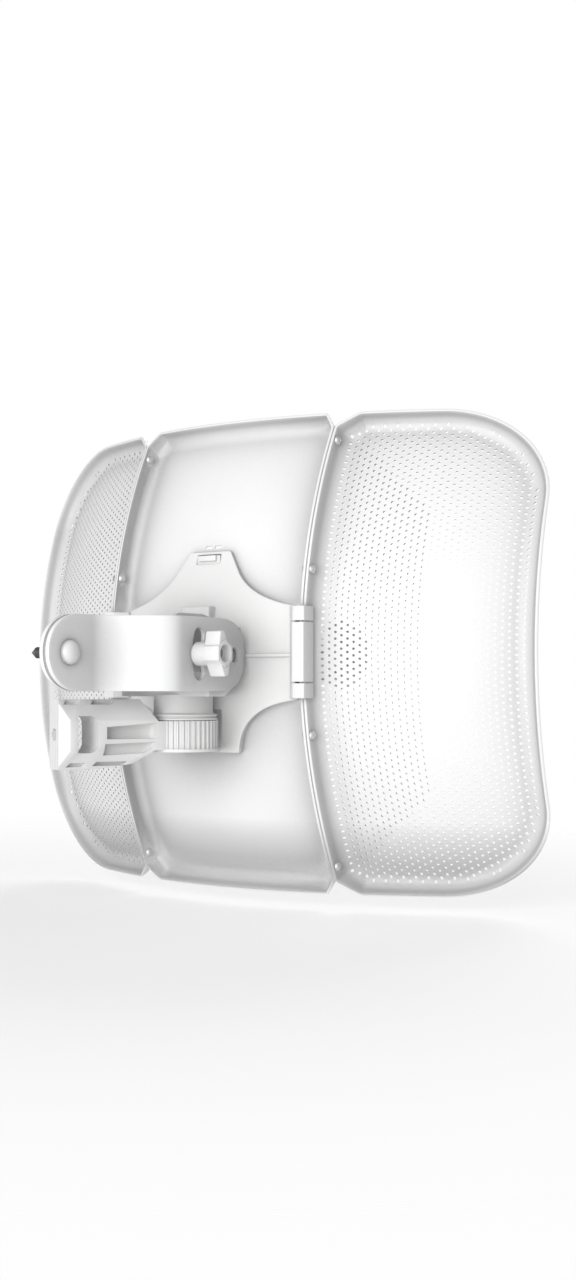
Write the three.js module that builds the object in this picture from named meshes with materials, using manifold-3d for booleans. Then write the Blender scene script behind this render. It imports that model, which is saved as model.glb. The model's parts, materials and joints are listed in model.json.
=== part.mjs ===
// Outdoor wireless bridge: a three-panel dish antenna with a feed, on a tilting and swivelling pole mount.
// Millimetres, +Z up. The dish looks along +Y. The origin is the middle of the ridged seat that rests
// against the pole; shapes below are drawn about the vertex of the dish and shifted there at the end.
import * as THREE from 'three';
import { mergeVertices } from 'three/addons/utils/BufferGeometryUtils.js';
import Module from 'manifold-3d';

const wasm = await Module();
wasm.setup();

// ---- driving dimensions -------------------------------------------------------------------------
const FOCAL = 117;               // focal length of the paraboloid
const SHEET = 1.5;               // thickness of the reflector panels
const BASE_X = 173;              // half width of the dish where its rim flange starts
const BASE_Z = 130;              // half height there
const CORNER_X = 56;             // outer corner ellipse, half width
const CORNER_Z = 50;             // outer corner ellipse, half height
const SEAM_X = 67.35;            // plane where a wing meets the centre panel
const GAP = 0.3;                 // clearance between touching pieces
const CHAMFER = 9;               // cut corner where two panels meet at top and bottom
const RIM = 10.3;                // depth of the rim flange, square to the surface
const SEAM_RIM = 12;             // depth of the flanges that are riveted together
const FILLET = 6.5;              // inside radius between panel and flange
const RIVET_Z = [118, 45, -45, -118];

const MOUNT_Z = -1.5;            // mid height of the yoke
const TILT_Y = -16.5;             // elevation axis
const PIVOT_BORE = 4;            // hole through the hollow pivots
const LOCK_Y = -49;              // elevation lock bolt
const SWIVEL = [2, -22, 0];      // azimuth axis, set off a little to clear the dish
const YOKE_HALF = 33;            // outer faces of the yoke plates
const YOKE_THICK = 2.4;
const YOKE_TALL = 39.4;
const YOKE_FRONT = -7;
const YOKE_REAR = -131;
const REAR_BOLT_Y = -116;
const TAIL_OUT = 3.2;            // outer face of a yoke plate where the two run together
const SLOT_HALF_ANGLE = 17;      // travel of the lock bolt in the yoke's arc slots, degrees

const HUB_R = 18.5;
const HUB_TOP = -37.3;
const HUB_FLOOR = -53;
const SPIGOT_R = 11;
const BORE_FLOOR = -47;          // bottom of the hub's bore
const RECESS_TOP = -49.2;        // roof of the recess that hides the azimuth bolt's head
const NECK_R = 16.3;             // swivel post above the hub
const NECK_STEP = -33.4;         // top of the wide rings at the foot of the neck
const CHEEK_IN = 27.6;           // the post's cheeks, between ears and yoke
const CHEEK_OUT = 30.3;
const CHEEK_FRONT = -9.2;
const CHEEK_REAR = -36;
const SADDLE_TOP = -19;          // floor between the cheeks
const SADDLE_BOTTOM = -24;
const CHEEK_SCREWS = [[-30, -14.5], [-15.5, -13.5]];
const ARM_LENGTH = 76;
const ARM_ANGLE = 25;            // arm swung about the azimuth axis at rest, degrees
const ARM_HALF = 11;
const ARM_TOP = -25.5;
const ARM_BOTTOM = -62.5;
const SEAT_Z = -44;

const FEED_Z = 2;                // feed axis
const FEED_R = 17;
const FEED_FRONT = 112;
const DISC_FRONT = 141.5;
const DISC_R = 22;

const rad = THREE.MathUtils.degToRad;

// ---- colours ------------------------------------------------------------------------------------
function finish(color, roughness, metalness) {
  return () => new THREE.MeshStandardMaterial({ color, roughness, metalness });
}
const paintedSteel = finish(0xf0f0f0, 0.45, 0.1);
const whitePlastic = finish(0xf2f2f1, 0.5, 0);
const zincSteel = finish(0xb9bcc0, 0.35, 0.9);
const darkRubber = finish(0x2b2c2e, 0.8, 0);
const boardGreen = finish(0x1f5a3a, 0.55, 0);
const tinPlate = finish(0xc8cacc, 0.3, 1);
const clearPlastic = finish(0xdfe8ee, 0.2, 0);
const jackPlastic = finish(0x26272a, 0.5, 0);
const copperFace = finish(0xc98a55, 0.35, 1);

// ---- solid helpers ------------------------------------------------------------------------------
function solid(geometry) {
  const bare = geometry.clone();
  bare.deleteAttribute('normal');
  bare.deleteAttribute('uv');
  const merged = mergeVertices(bare, 1e-4);
  return new wasm.Manifold(new wasm.Mesh({
    numProp: 3,
    vertProperties: new Float32Array(merged.attributes.position.array),
    triVerts: new Uint32Array(merged.index.array),
  }));
}

function toGeometry(body) {
  const mesh = body.getMesh();
  const geometry = new THREE.BufferGeometry();
  geometry.setAttribute('position', new THREE.BufferAttribute(new Float32Array(mesh.vertProperties), 3));
  geometry.setIndex(new THREE.BufferAttribute(new Uint32Array(mesh.triVerts), 1));
  return geometry;
}

function join(first, ...others) {
  return toGeometry(others.reduce((body, other) => body.add(solid(other)), solid(first)));
}

function cut(first, ...others) {
  return toGeometry(others.reduce((body, other) => body.subtract(solid(other)), solid(first)));
}

function common(first, ...others) {
  return toGeometry(others.reduce((body, other) => body.intersect(solid(other)), solid(first)));
}

function box([x0, x1], [y0, y1], [z0, z1]) {
  const geometry = new THREE.BoxGeometry(x1 - x0, y1 - y0, z1 - z0);
  return geometry.translate((x0 + x1) / 2, (y0 + y1) / 2, (z0 + z1) / 2);
}

// Outline in X and Y, raised from z0 to z1.
function upright(shape, z0, z1, curveSegments = 8) {
  const geometry = new THREE.ExtrudeGeometry(shape, { depth: z1 - z0, bevelEnabled: false, curveSegments });
  return geometry.translate(0, 0, z0);
}

// Outline in Y and Z, swept along X from x0 to x1.
function sideways(shape, x0, x1, curveSegments = 8) {
  const geometry = new THREE.ExtrudeGeometry(shape, { depth: x1 - x0, bevelEnabled: false, curveSegments });
  geometry.applyMatrix4(new THREE.Matrix4().set(0, 0, 1, x0, 1, 0, 0, 0, 0, 1, 0, 0, 0, 0, 0, 1));
  return geometry;
}

function outline(points) {
  return new THREE.Shape(points.map(([a, b]) => new THREE.Vector2(a, b)));
}

// Profile of [radius, height] pairs turned about X, Y or Z, with its axis through a point.
function turned(profile, axis, [x, y, z], segments = 24) {
  const geometry = new THREE.LatheGeometry(profile.map(([r, h]) => new THREE.Vector2(r, h)), segments);
  if (axis === 'x') {
    geometry.rotateZ(-Math.PI / 2);
  }
  if (axis === 'z') {
    geometry.rotateX(Math.PI / 2);
  }
  return geometry.translate(x, y, z);
}

function rod(radius, axis, h0, h1, point, segments = 24) {
  return turned([[0, h0], [radius, h0], [radius, h1], [0, h1]], axis, point, segments);
}

function mirrored(geometry) {
  const copy = geometry.clone().scale(-1, 1, 1);
  if (!copy.index) {
    copy.setIndex([...Array(copy.attributes.position.count).keys()]);
  }
  const index = copy.index.array;
  for (let i = 0; i < index.length; i += 3) {
    [index[i], index[i + 1]] = [index[i + 1], index[i]];
  }
  return copy;
}

const object = new THREE.Group();

function piece(name, geometry, material) {
  const mesh = new THREE.Mesh(geometry, material());
  mesh.name = name;
  object.add(mesh);
  return mesh;
}

// ---- the dish surface ---------------------------------------------------------------------------
function dishY(x, z) {
  return (x * x + z * z) / (4 * FOCAL);
}

function rearward(x, z) {
  return new THREE.Vector3(x / (2 * FOCAL), -1, z / (2 * FOCAL)).normalize();
}

// A sheet that follows the dish: rings of points run from the edge to the middle on both of its skins.
// Each ring is [inset from the edge, height behind the dish], and after them the rings close on the middle.
// lift may change a height from point to point.
function dishSheet(edge, middle, rearRings, frontRings, steps, planar = () => 0, lift = (k) => k) {
  const count = edge.length;
  const inward = edge.map((point, i) => {
    const before = edge[(i + count - 1) % count];
    const after = edge[(i + 1) % count];
    const a = new THREE.Vector2().subVectors(point, before).normalize();
    const b = new THREE.Vector2().subVectors(after, point).normalize();
    const normal = new THREE.Vector2(-a.y - b.y, a.x + b.x).normalize();
    return normal.divideScalar(Math.max(0.5, normal.dot(new THREE.Vector2(-a.y, a.x))));
  });
  const place = (x, z, k, flat) => {
    const away = rearward(x, z);
    away.x *= 1 - flat;
    away.normalize();
    return [x + away.x * k, dishY(x, z) + away.y * k, z + away.z * k];
  };
  const points = [];
  const skins = [rearRings, frontRings].map((rings) => {
    const rows = rings.map(([inset, k]) => edge.map((point, i) => {
      const height = lift(k, point.y, point);
      points.push(place(point.x + inward[i].x * inset, point.y + inward[i].y * inset, height, planar(point)));
      return points.length - 1;
    }));
    const [lastInset, lastK] = rings[rings.length - 1];
    for (const t of steps) {
      rows.push(edge.map((point, i) => {
        const x = THREE.MathUtils.lerp(point.x + inward[i].x * lastInset, middle.x, t);
        const z = THREE.MathUtils.lerp(point.y + inward[i].y * lastInset, middle.y, t);
        points.push(place(x, z, lift(lastK, z, point), 0));
        return points.length - 1;
      }));
    }
    points.push(place(middle.x, middle.y, lastK, 0));
    return { rows, centre: points.length - 1 };
  });
  const index = [];
  const quad = (a, b, c, d) => index.push(a, b, c, a, c, d);
  skins.forEach(({ rows, centre }, side) => {
    for (let i = 0; i < count; i++) {
      const j = (i + 1) % count;
      for (let r = 0; r + 1 < rows.length; r++) {
        const ring = [rows[r][i], rows[r][j], rows[r + 1][j], rows[r + 1][i]];
        quad(...(side === 0 ? ring : ring.reverse()));
      }
      const last = rows[rows.length - 1];
      index.push(...(side === 0 ? [last[i], last[j], centre] : [last[j], last[i], centre]));
    }
  });
  for (let i = 0; i < count; i++) {
    const j = (i + 1) % count;
    quad(skins[1].rows[0][i], skins[1].rows[0][j], skins[0].rows[0][j], skins[0].rows[0][i]);
  }
  const geometry = new THREE.BufferGeometry();
  geometry.setAttribute('position', new THREE.Float32BufferAttribute(points.flat(), 3));
  geometry.setIndex(index);
  return geometry;
}

// Panel with a flange turned rearward all round, bent at a constant radius.
function flangedPanel(edge, middle) {
  const bend = [0, 45, 90].map(rad);
  const outer = FILLET + SHEET;
  const turn = (radius) => bend.map((a) => [outer - radius * Math.cos(a), FILLET - radius * Math.sin(a)]);
  const rear = [[SHEET, RIM], ...turn(FILLET)];
  const front = [[0, RIM], ...turn(outer)];
  const fromSeam = (point) => Math.abs(Math.abs(point.x) - SEAM_X) - 1;
  const atSeam = (point) => THREE.MathUtils.clamp(1 - fromSeam(point) / CHAMFER, 0, 1);
  const seamGrowth = (SEAM_RIM - FILLET) / (RIM - FILLET) - 1;
  const lift = (k, z, point) => k + Math.max(0, k - FILLET) * seamGrowth * atSeam(point);
  return dishSheet(edge, middle, rear, front, [0.4, 0.75], atSeam, lift);
}

function spread(from, to, count) {
  return Array.from({ length: count }, (_, i) => from.clone().lerp(to, i / count));
}

function vec(x, y) {
  return new THREE.Vector2(x, y);
}

// Counter-clockwise in X and Z.
function centreEdge() {
  const x = SEAM_X - GAP / 2;
  const corners = [
    [vec(-x, -BASE_Z + CHAMFER), 1], [vec(-x + CHAMFER, -BASE_Z), 5],
    [vec(x - CHAMFER, -BASE_Z), 1], [vec(x, -BASE_Z + CHAMFER), 10],
    [vec(x, BASE_Z - CHAMFER), 1], [vec(x - CHAMFER, BASE_Z), 5],
    [vec(-x + CHAMFER, BASE_Z), 1], [vec(-x, BASE_Z - CHAMFER), 10],
  ];
  return corners.flatMap(([corner, count], i) => spread(corner, corners[(i + 1) % corners.length][0], count));
}

function wingEdge() {
  const x = SEAM_X + GAP / 2;
  const turn = 7;
  const corner = (sign) => Array.from({ length: turn }, (_, i) => {
    const a = (sign < 0 ? i : turn - i) / turn * Math.PI / 2;
    const height = BASE_Z - CORNER_Z + CORNER_Z * Math.cos(a);
    return vec(BASE_X - CORNER_X + CORNER_X * Math.sin(a), sign * height);
  });
  return [
    ...spread(vec(x, -BASE_Z + CHAMFER), vec(x + CHAMFER, -BASE_Z), 1),
    ...spread(vec(x + CHAMFER, -BASE_Z), vec(BASE_X - CORNER_X, -BASE_Z), 3),
    ...corner(-1),
    ...spread(vec(BASE_X, -BASE_Z + CORNER_Z), vec(BASE_X, BASE_Z - CORNER_Z), 6),
    ...corner(1),
    ...spread(vec(BASE_X - CORNER_X, BASE_Z), vec(x + CHAMFER, BASE_Z), 3),
    ...spread(vec(x + CHAMFER, BASE_Z), vec(x, BASE_Z - CHAMFER), 1),
    ...spread(vec(x, BASE_Z - CHAMFER), vec(x, -BASE_Z + CHAMFER), 10),
  ];
}

// Middle of the seam flanges at a height, where a rivet goes through.
function rivetPoint(z) {
  return [0, dishY(SEAM_X, z) - 0.77 * SEAM_RIM, z];
}

function reflector() {
  const holes = RIVET_Z.flatMap((z) => {
    const hole = rod(1.9, 'x', SEAM_X - 5, SEAM_X + 5, rivetPoint(z), 8);
    return [hole, mirrored(hole)];
  });
  const feedHole = rod(FEED_R + 3, 'y', -10, 20, [0, 0, FEED_Z], 28);
  piece('centre_panel', cut(flangedPanel(centreEdge(), vec(0, 0)), ...holes, feedHole), paintedSteel);
  const wing = cut(flangedPanel(wingEdge(), vec(120, 0)), ...holes);
  piece('right_wing', wing, paintedSteel);
  piece('left_wing', mirrored(wing), paintedSteel);
}

function rivets() {
  const half = [[1.6, 2.1], [2.6, 2.1], [1.8, 3.5], [0, 4]];
  const profile = [...half.map(([r, h]) => [r, -h]).reverse(), ...half];
  for (const [side, sign] of [['right', 1], ['left', -1]]) {
    RIVET_Z.forEach((z, i) => {
      const [, y] = rivetPoint(z);
      const rivet = turned(profile, 'x', [0, 0, 0], 8);
      const placed = (sign > 0 ? rivet : mirrored(rivet)).translate(sign * SEAM_X, y, z);
      piece(`${side}_seam_rivet_${i + 1}`, placed, zincSteel);
    });
  }
}

// ---- rear bracket: cross plate, seam clips, ribs, ears and feed boss ---------------------------------
const PLATE_BACK = 5;            // rear skin of the cross plate, behind the dish
const TOP_THINNING = 0.5;        // share of its height that the plate loses at the top foot
const EAR_IN = 24.6;
const EAR_OUT = 27.3;

function crossEdge() {
  const shape = new THREE.Shape();
  shape.moveTo(21.5, -54.5);
  shape.bezierCurveTo(24.5, -35, 40, -27.5, 59.2, -25.5);
  shape.lineTo(59.2, 24.8);
  shape.bezierCurveTo(42, 27.5, 29, 34, 22, 44);
  shape.lineTo(13.8, 57);
  const right = shape.getPoints(6);
  const left = right.map((point) => vec(-point.x, point.y)).reverse();
  const full = [...right, ...left];
  return full.flatMap((point, i) => {
    const next = full[(i + 1) % full.length];
    return spread(point, next, Math.max(1, Math.round(point.distanceTo(next) / 20)));
  });
}

// Ear that turns on the pivot and carries the lock bolt; its crown stands just above the yoke.
function earShape() {
  const crown = 20.2;
  const shape = new THREE.Shape();
  shape.moveTo(0, -12);
  shape.lineTo(-30, -12);
  shape.lineTo(LOCK_Y - 2, MOUNT_Z - 8.5);
  shape.quadraticCurveTo(LOCK_Y - 15, MOUNT_Z - 7, LOCK_Y - 15, MOUNT_Z + 6);
  shape.quadraticCurveTo(LOCK_Y - 15, crown, LOCK_Y - 8, crown);
  shape.lineTo(-40, crown);
  shape.quadraticCurveTo(-34, crown, -30, 18.2);
  shape.quadraticCurveTo(-26, 14, 0, 14);
  return shape;
}

// Room that the hub and the neck above it need in the bracket's frame when the dish is tilted by an angle.
function hubSweep(angle) {
  const hubRoom = HUB_R + 2.3;
  const neckRoom = NECK_R + 1.5;
  const step = NECK_STEP + 1;
  const top = SADDLE_BOTTOM + 2.5;
  const room = turned([[0, HUB_FLOOR - 3], [hubRoom, HUB_FLOOR - 3], [hubRoom, step], [neckRoom, step],
    [neckRoom, top], [0, top]], 'z', SWIVEL, 16);
  const pivot = new THREE.Matrix4().makeTranslation(0, TILT_Y, MOUNT_Z);
  const turn = pivot.clone().multiply(new THREE.Matrix4().makeRotationX(rad(-angle)));
  return room.applyMatrix4(turn.multiply(pivot.invert()));
}

// Foot that hooks over both seam flanges; two slits leave a snap finger between them.
function seamClip() {
  const plan = outline([[57, 2.6], [57, 1.4], [63.4, -5.2], [70.7, -5.2], [70.7, 4.4], [69.4, 4.4],
    [69.4, -3.1], [65.4, -3.1], [65.4, 2.6]]);
  const slits = [-16.5, 16.5].map((z) => box([62, 72], [-6, 1], [z - 0.4, z + 0.4]));
  return cut(upright(plan, -25, 24.8), ...slits);
}

// Stiffening rib along an arm of the cross.
function armRib() {
  const stations = [28, 37, 46, 55, 64];
  const back = stations.map((x) => [x, dishY(x, 0) - PLATE_BACK - 2]);
  const front = stations.map((x) => [x, dishY(x, 0) - PLATE_BACK + 1.5]).reverse();
  return upright(outline([...back, ...front]), MOUNT_Z - 1.1, MOUNT_Z + 1.1);
}

function rearBracket() {
  const rear = [[0, 1], [0, PLATE_BACK - 0.8], [0.8, PLATE_BACK]];
  const front = [[0, 0.4], [1.8, 0.4], [1.8001, PLATE_BACK - 2.5]];
  const thinner = (k, z) => k * (1 - TOP_THINNING * THREE.MathUtils.smoothstep(z, 24, 57));
  const plate = dishSheet(crossEdge(), vec(0, 0), rear, front, [0.4, 0.75], () => 0, thinner);
  const clip = seamClip();
  const rib = armRib();
  const ear = sideways(earShape(), EAR_IN, EAR_OUT, 6);
  const boss = box([-10, 10], [-9.5, -3], [8, 26]);
  let body = join(plate, clip, mirrored(clip), rib, mirrored(rib), ear, mirrored(ear), boss);
  const pivotHole = rod(5.6, 'x', -40, 40, [0, TILT_Y, MOUNT_Z], 20);
  const lockHole = rod(3.3, 'x', -40, 40, [0, LOCK_Y, MOUNT_Z], 16);
  const latchSlot = box([-8.3, 8.3], [-6, 9], [50, 55.6]);
  const latchDoor = box([-6.3, 6.3], [-12, 9], [12, 21]);
  const relief = [0, -2.2, -4.4].map((angle) => hubSweep(angle));
  body = cut(body, pivotHole, lockHole, latchSlot, latchDoor, ...relief);
  piece('rear_bracket', body, whitePlastic);
}

// Snap tongue in the bracket's top foot: it presses rearward to let go of the panel.
function topLatch() {
  const tongue = box([-8, 8], [3.4, 5], [50.3, 55.3]);
  const grip = box([-6, 6], [1.8, 3.8], [52.2, 55.3]);
  piece('bracket_latch', join(tongue, grip), whitePlastic);
}

// ---- elevation yoke ---------------------------------------------------------------------------------
// Plan of the right plate: straight cheek, slanting web, straight tail.
function yokePlan() {
  const cheekEnd = -62;
  const tailStart = -98;
  const pull = 16;
  const curve = new THREE.CubicBezierCurve(vec(YOKE_HALF, cheekEnd), vec(YOKE_HALF, cheekEnd - pull),
    vec(TAIL_OUT, tailStart + pull), vec(TAIL_OUT, tailStart));
  const steps = 12;
  const outer = [vec(YOKE_HALF, YOKE_FRONT)];
  const inner = [vec(YOKE_HALF - YOKE_THICK, YOKE_FRONT)];
  for (let i = 0; i <= steps; i++) {
    const point = curve.getPoint(i / steps);
    const along = curve.getTangent(i / steps);
    outer.push(point);
    inner.push(vec(point.x + along.y * YOKE_THICK, point.y - along.x * YOKE_THICK));
  }
  outer.push(vec(TAIL_OUT, YOKE_REAR));
  inner.push(vec(TAIL_OUT - YOKE_THICK, YOKE_REAR));
  return new THREE.Shape([...outer, ...inner.reverse()]);
}

// Side view of a plate: straight edges with rounded ends.
function yokeSide() {
  const half = YOKE_TALL / 2;
  const end = (y, reach, power, from) => Array.from({ length: 13 }, (_, i) => {
    const a = rad(from + 180 * i / 12);
    const c = Math.cos(a);
    const s = Math.sin(a);
    return vec(y + Math.sign(c) * reach * Math.abs(c) ** (2 / power), MOUNT_Z + Math.sign(s) * half
      * Math.abs(s) ** (2 / power));
  });
  return new THREE.Shape([...end(-32, 32 + YOKE_FRONT, 2.6, -90), ...end(-108, -YOKE_REAR - 108, 2.1, 90)]);
}

function arcSlot(radius, halfWidth, halfAngle) {
  const shape = new THREE.Shape();
  const from = rad(180 - halfAngle);
  const to = rad(180 + halfAngle);
  const at = (r, a) => [TILT_Y + r * Math.cos(a), MOUNT_Z + r * Math.sin(a)];
  shape.absarc(TILT_Y, MOUNT_Z, radius + halfWidth, from, to, false);
  shape.absarc(...at(radius, to), halfWidth, to, to + Math.PI, false);
  shape.absarc(TILT_Y, MOUNT_Z, radius - halfWidth, to, from, true);
  shape.absarc(...at(radius, from), halfWidth, from + Math.PI, from + 2 * Math.PI, false);
  return shape;
}

function yoke() {
  const blank = common(upright(yokePlan(), MOUNT_Z - YOKE_TALL / 2, MOUNT_Z + YOKE_TALL / 2),
    sideways(yokeSide(), -1, YOKE_HALF + 1));
  const pivotHole = rod(PIVOT_BORE, 'x', 20, 40, [0, TILT_Y, MOUNT_Z], 20);
  const slot = sideways(arcSlot(TILT_Y - LOCK_Y, 4.3, SLOT_HALF_ANGLE), 25, 40, 5);
  const boltHole = rod(3.9, 'x', -1, 10, [0, REAR_BOLT_Y, MOUNT_Z], 16);
  const screwHoles = CHEEK_SCREWS.map(([y, z]) => rod(1.9, 'x', 29, YOKE_HALF - 0.7, [0, y, z], 10));
  const plate = cut(blank, pivotHole, slot, boltHole, ...screwHoles);
  piece('right_yoke_plate', plate, paintedSteel);
  piece('left_yoke_plate', mirrored(plate), paintedSteel);
}

// Serrated spacer between the two tails.
function yokeSpacer() {
  const shape = new THREE.Shape();
  const teeth = 24;
  for (let i = 0; i < teeth * 2; i++) {
    const a = i / teeth * Math.PI;
    const r = i % 2 ? 13.4 : 12.4;
    const point = [REAR_BOLT_Y + r * Math.cos(a), MOUNT_Z + r * Math.sin(a)];
    if (i === 0) {
      shape.moveTo(...point);
    } else {
      shape.lineTo(...point);
    }
  }
  const body = sideways(shape, -TAIL_OUT + YOKE_THICK + GAP, TAIL_OUT - YOKE_THICK - GAP);
  piece('yoke_spacer', cut(body, rod(3.9, 'x', -3, 3, [0, REAR_BOLT_Y, MOUNT_Z], 16)), paintedSteel);
}

// Six-sided bar along X between x0 and x1.
function hexagon(flats, axisPoint, x0, x1) {
  const r = flats / Math.sqrt(3);
  const corners = [0, 1, 2, 3, 4, 5].map((i) => [axisPoint[0] + r * Math.cos(i * Math.PI / 3 + Math.PI / 6),
    axisPoint[1] + r * Math.sin(i * Math.PI / 3 + Math.PI / 6)]);
  return sideways(outline(corners), x0, x1);
}

// Dome-headed bolt through the tails; its shank ends in a point.
function rearBolt() {
  const face = TAIL_OUT + GAP;
  const profile = [[0, -22], [1.2, -20.5], [2.9, -18.5], [2.9, face], [6.35, face], [6.1, face + 1.4],
    [4.6, face + 3], [2.4, face + 3.9], [0, face + 4.2]];
  piece('rear_bolt', turned(profile, 'x', [0, REAR_BOLT_Y, MOUNT_Z], 20), paintedSteel);
  const washer = cut(rod(7, 'x', -face - 1.4, -face, [0, REAR_BOLT_Y, MOUNT_Z], 20),
    rod(3.2, 'x', -9, 0, [0, REAR_BOLT_Y, MOUNT_Z], 16));
  piece('rear_washer', washer, zincSteel);
  const nut = cut(hexagon(10, [REAR_BOLT_Y, MOUNT_Z], -face - 7.2, -face - 1.7),
    rod(3.2, 'x', -19, 0, [0, REAR_BOLT_Y, MOUNT_Z], 16));
  piece('rear_nut', nut, zincSteel);
}

// Hollow pivots that the bracket's ears turn on.
function pivotBushings() {
  const end = YOKE_HALF - YOKE_THICK - GAP;
  const profile = [[PIVOT_BORE, EAR_IN - 2.2], [7.5, EAR_IN - 2.2], [7.5, EAR_IN - GAP], [5.2, EAR_IN - GAP],
    [5.2, end], [PIVOT_BORE, end], [PIVOT_BORE, EAR_IN - 2.2]];
  const bushing = turned(profile, 'x', [0, TILT_Y, MOUNT_Z], 20);
  piece('right_pivot_bushing', bushing, zincSteel);
  piece('left_pivot_bushing', mirrored(bushing), zincSteel);
}

function lockBolt() {
  const face = YOKE_HALF + GAP;
  const profile = [[0, -face - 3.6], [3.6, -face - 3], [6.2, -face - 1.4], [6.6, -face], [2.9, -face],
    [2.9, face + 13], [0, face + 13]];
  piece('lock_bolt', turned(profile, 'x', [0, LOCK_Y, MOUNT_Z], 20), zincSteel);
}

// Wing nut: round foot, six-sided body with a deep socket, and two upright wings.
function wingNut() {
  const face = YOKE_HALF + GAP;
  const foot = rod(6.4, 'x', face, face + 9.5, [0, LOCK_Y, MOUNT_Z], 20);
  const body = hexagon(12.5, [LOCK_Y, MOUNT_Z], face + 7.7, face + 18);
  const paddle = [[-1.6, -12], [1.8, -12], [4.4, -4], [4.4, 4], [1.8, 12], [-1.6, 12], [-4.4, 4], [-4.4, -4]];
  const lean = rad(9);
  const leant = paddle.map(([y, z]) => vec(y, z).rotateAround(vec(0, 0), lean));
  const wingShape = outline(leant.map(({ x: y, y: z }) => [LOCK_Y + y, MOUNT_Z + z]));
  const wings = sideways(wingShape, face + 7.7, face + 17.3);
  const thread = rod(3.2, 'x', 20, face + 16.5, [0, LOCK_Y, MOUNT_Z], 16);
  const socket = rod(4.35, 'x', face + 14, face + 24, [0, LOCK_Y, MOUNT_Z], 20);
  piece('wing_nut', cut(join(foot, body, wings), thread, socket), whitePlastic);
}

// ---- swivel post ------------------------------------------------------------------------------------
function cheekShape() {
  const shape = new THREE.Shape();
  shape.moveTo(CHEEK_FRONT - 10, SADDLE_BOTTOM);
  shape.lineTo(CHEEK_FRONT, -13);
  shape.lineTo(CHEEK_FRONT, -9);
  shape.lineTo(TILT_Y + 9, MOUNT_Z);
  shape.absarc(TILT_Y, MOUNT_Z, 9, 0, rad(162), false);
  shape.lineTo(CHEEK_REAR, -10);
  shape.lineTo(CHEEK_REAR, SADDLE_BOTTOM);
  return shape;
}

function swivelPost() {
  const at = SWIVEL;
  const corner = CHEEK_FRONT - 10;
  const plan = outline([[-CHEEK_OUT, CHEEK_REAR], [CHEEK_OUT, CHEEK_REAR], [CHEEK_OUT, corner],
    [18, CHEEK_FRONT], [-18, CHEEK_FRONT], [-CHEEK_OUT, corner]]);
  const floor = upright(plan, SADDLE_BOTTOM, SADDLE_TOP);
  const cheek = sideways(cheekShape(), CHEEK_IN, CHEEK_OUT, 8);
  const end = BORE_FLOOR + 0.5;
  const neck = turned([[0, end], [SPIGOT_R - 0.6, end], [SPIGOT_R, end + 0.7], [SPIGOT_R, HUB_TOP + GAP],
    [18.9, HUB_TOP + GAP], [18.9, -35.8], [17.6, -35.6], [17.6, -35.2], [18.6, -35], [18.6, NECK_STEP - 0.4],
    [NECK_R, NECK_STEP], [NECK_R, SADDLE_BOTTOM + 1], [0, SADDLE_BOTTOM + 1]], 'z', at, 24);
  const pivotHole = rod(5.6, 'x', -40, 40, [0, TILT_Y, MOUNT_Z], 20);
  const thread = rod(3.3, 'z', -60, -38.5, at, 16);
  const sink = [[0, CHEEK_IN - 1], [3.3, CHEEK_IN - 1], [3.3, CHEEK_IN + 0.2], [1.9, CHEEK_IN + 1.6],
    [1.9, 40], [0, 40]];
  const screwHoles = CHEEK_SCREWS.flatMap(([y, z]) => {
    const hole = turned(sink, 'x', [0, y, z], 10);
    return [hole, mirrored(hole)];
  });
  const slit = box([-17, -6], [-42, -32], [-27.4, -25.8]);
  const body = cut(join(floor, cheek, mirrored(cheek), neck), pivotHole, thread, slit, ...screwHoles);
  piece('swivel_post', body, whitePlastic);
}

function cheekScrews() {
  const profile = [[0, CHEEK_IN + 0.1], [2.8, CHEEK_IN + 0.1], [1.5, CHEEK_IN + 1.4], [1.5, YOKE_HALF - 1],
    [0, YOKE_HALF - 1]];
  for (const [i, [y, z]] of CHEEK_SCREWS.entries()) {
    const screw = turned(profile, 'x', [0, y, z], 10);
    piece(`right_yoke_screw_${i + 1}`, screw, zincSteel);
    piece(`left_yoke_screw_${i + 1}`, mirrored(screw), zincSteel);
  }
}

// ---- pole arm: drawn along -Y from the azimuth axis, then swung to its angle ---------------------------
function armSection() {
  const narrow = 5.2;
  const low = ARM_BOTTOM + 10;
  const high = SEAT_Z + 7.6;
  return outline([[-narrow, ARM_BOTTOM], [narrow, ARM_BOTTOM], [ARM_HALF, low], [ARM_HALF, high],
    [narrow, ARM_TOP], [-narrow, ARM_TOP], [-ARM_HALF, high], [-ARM_HALF, low]]);
}

function armSide() {
  return outline([[-13, HUB_FLOOR], [-22, HUB_FLOOR], [-28.5, ARM_BOTTOM + 5.5], [-34, ARM_BOTTOM + 2.5],
    [-46, ARM_BOTTOM + 0.6], [-58, ARM_BOTTOM], [-ARM_LENGTH, ARM_BOTTOM],
    [-ARM_LENGTH, ARM_TOP], [-29, ARM_TOP], [-20.5, HUB_TOP], [-13, HUB_TOP]]);
}

function armPlan() {
  const bevel = 4.6;
  const face = ARM_HALF - bevel;
  const depth = 0.7;
  const groove = (x) => [[x - 0.5, 0], [x - 0.25, depth], [x + 0.25, depth], [x + 0.5, 0]];
  const ridges = [-4.6, -2.3, 0, 2.3, 4.6].flatMap(groove).map(([x, y]) => [x, y - ARM_LENGTH]);
  return outline([[-ARM_HALF, 0], [-ARM_HALF, bevel - ARM_LENGTH], [-face, -ARM_LENGTH], ...ridges,
    [face, -ARM_LENGTH], [ARM_HALF, bevel - ARM_LENGTH], [ARM_HALF, 0]]);
}

function hubOutline() {
  const ribs = 40;
  const points = [];
  for (let i = 0; i < ribs; i++) {
    for (const [part, r] of [[-0.28, HUB_R], [-0.12, HUB_R + 0.8], [0.12, HUB_R + 0.8], [0.28, HUB_R]]) {
      const a = (i + part) / ribs * 2 * Math.PI;
      points.push([r * Math.cos(a), r * Math.sin(a)]);
    }
  }
  return outline(points);
}

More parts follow.
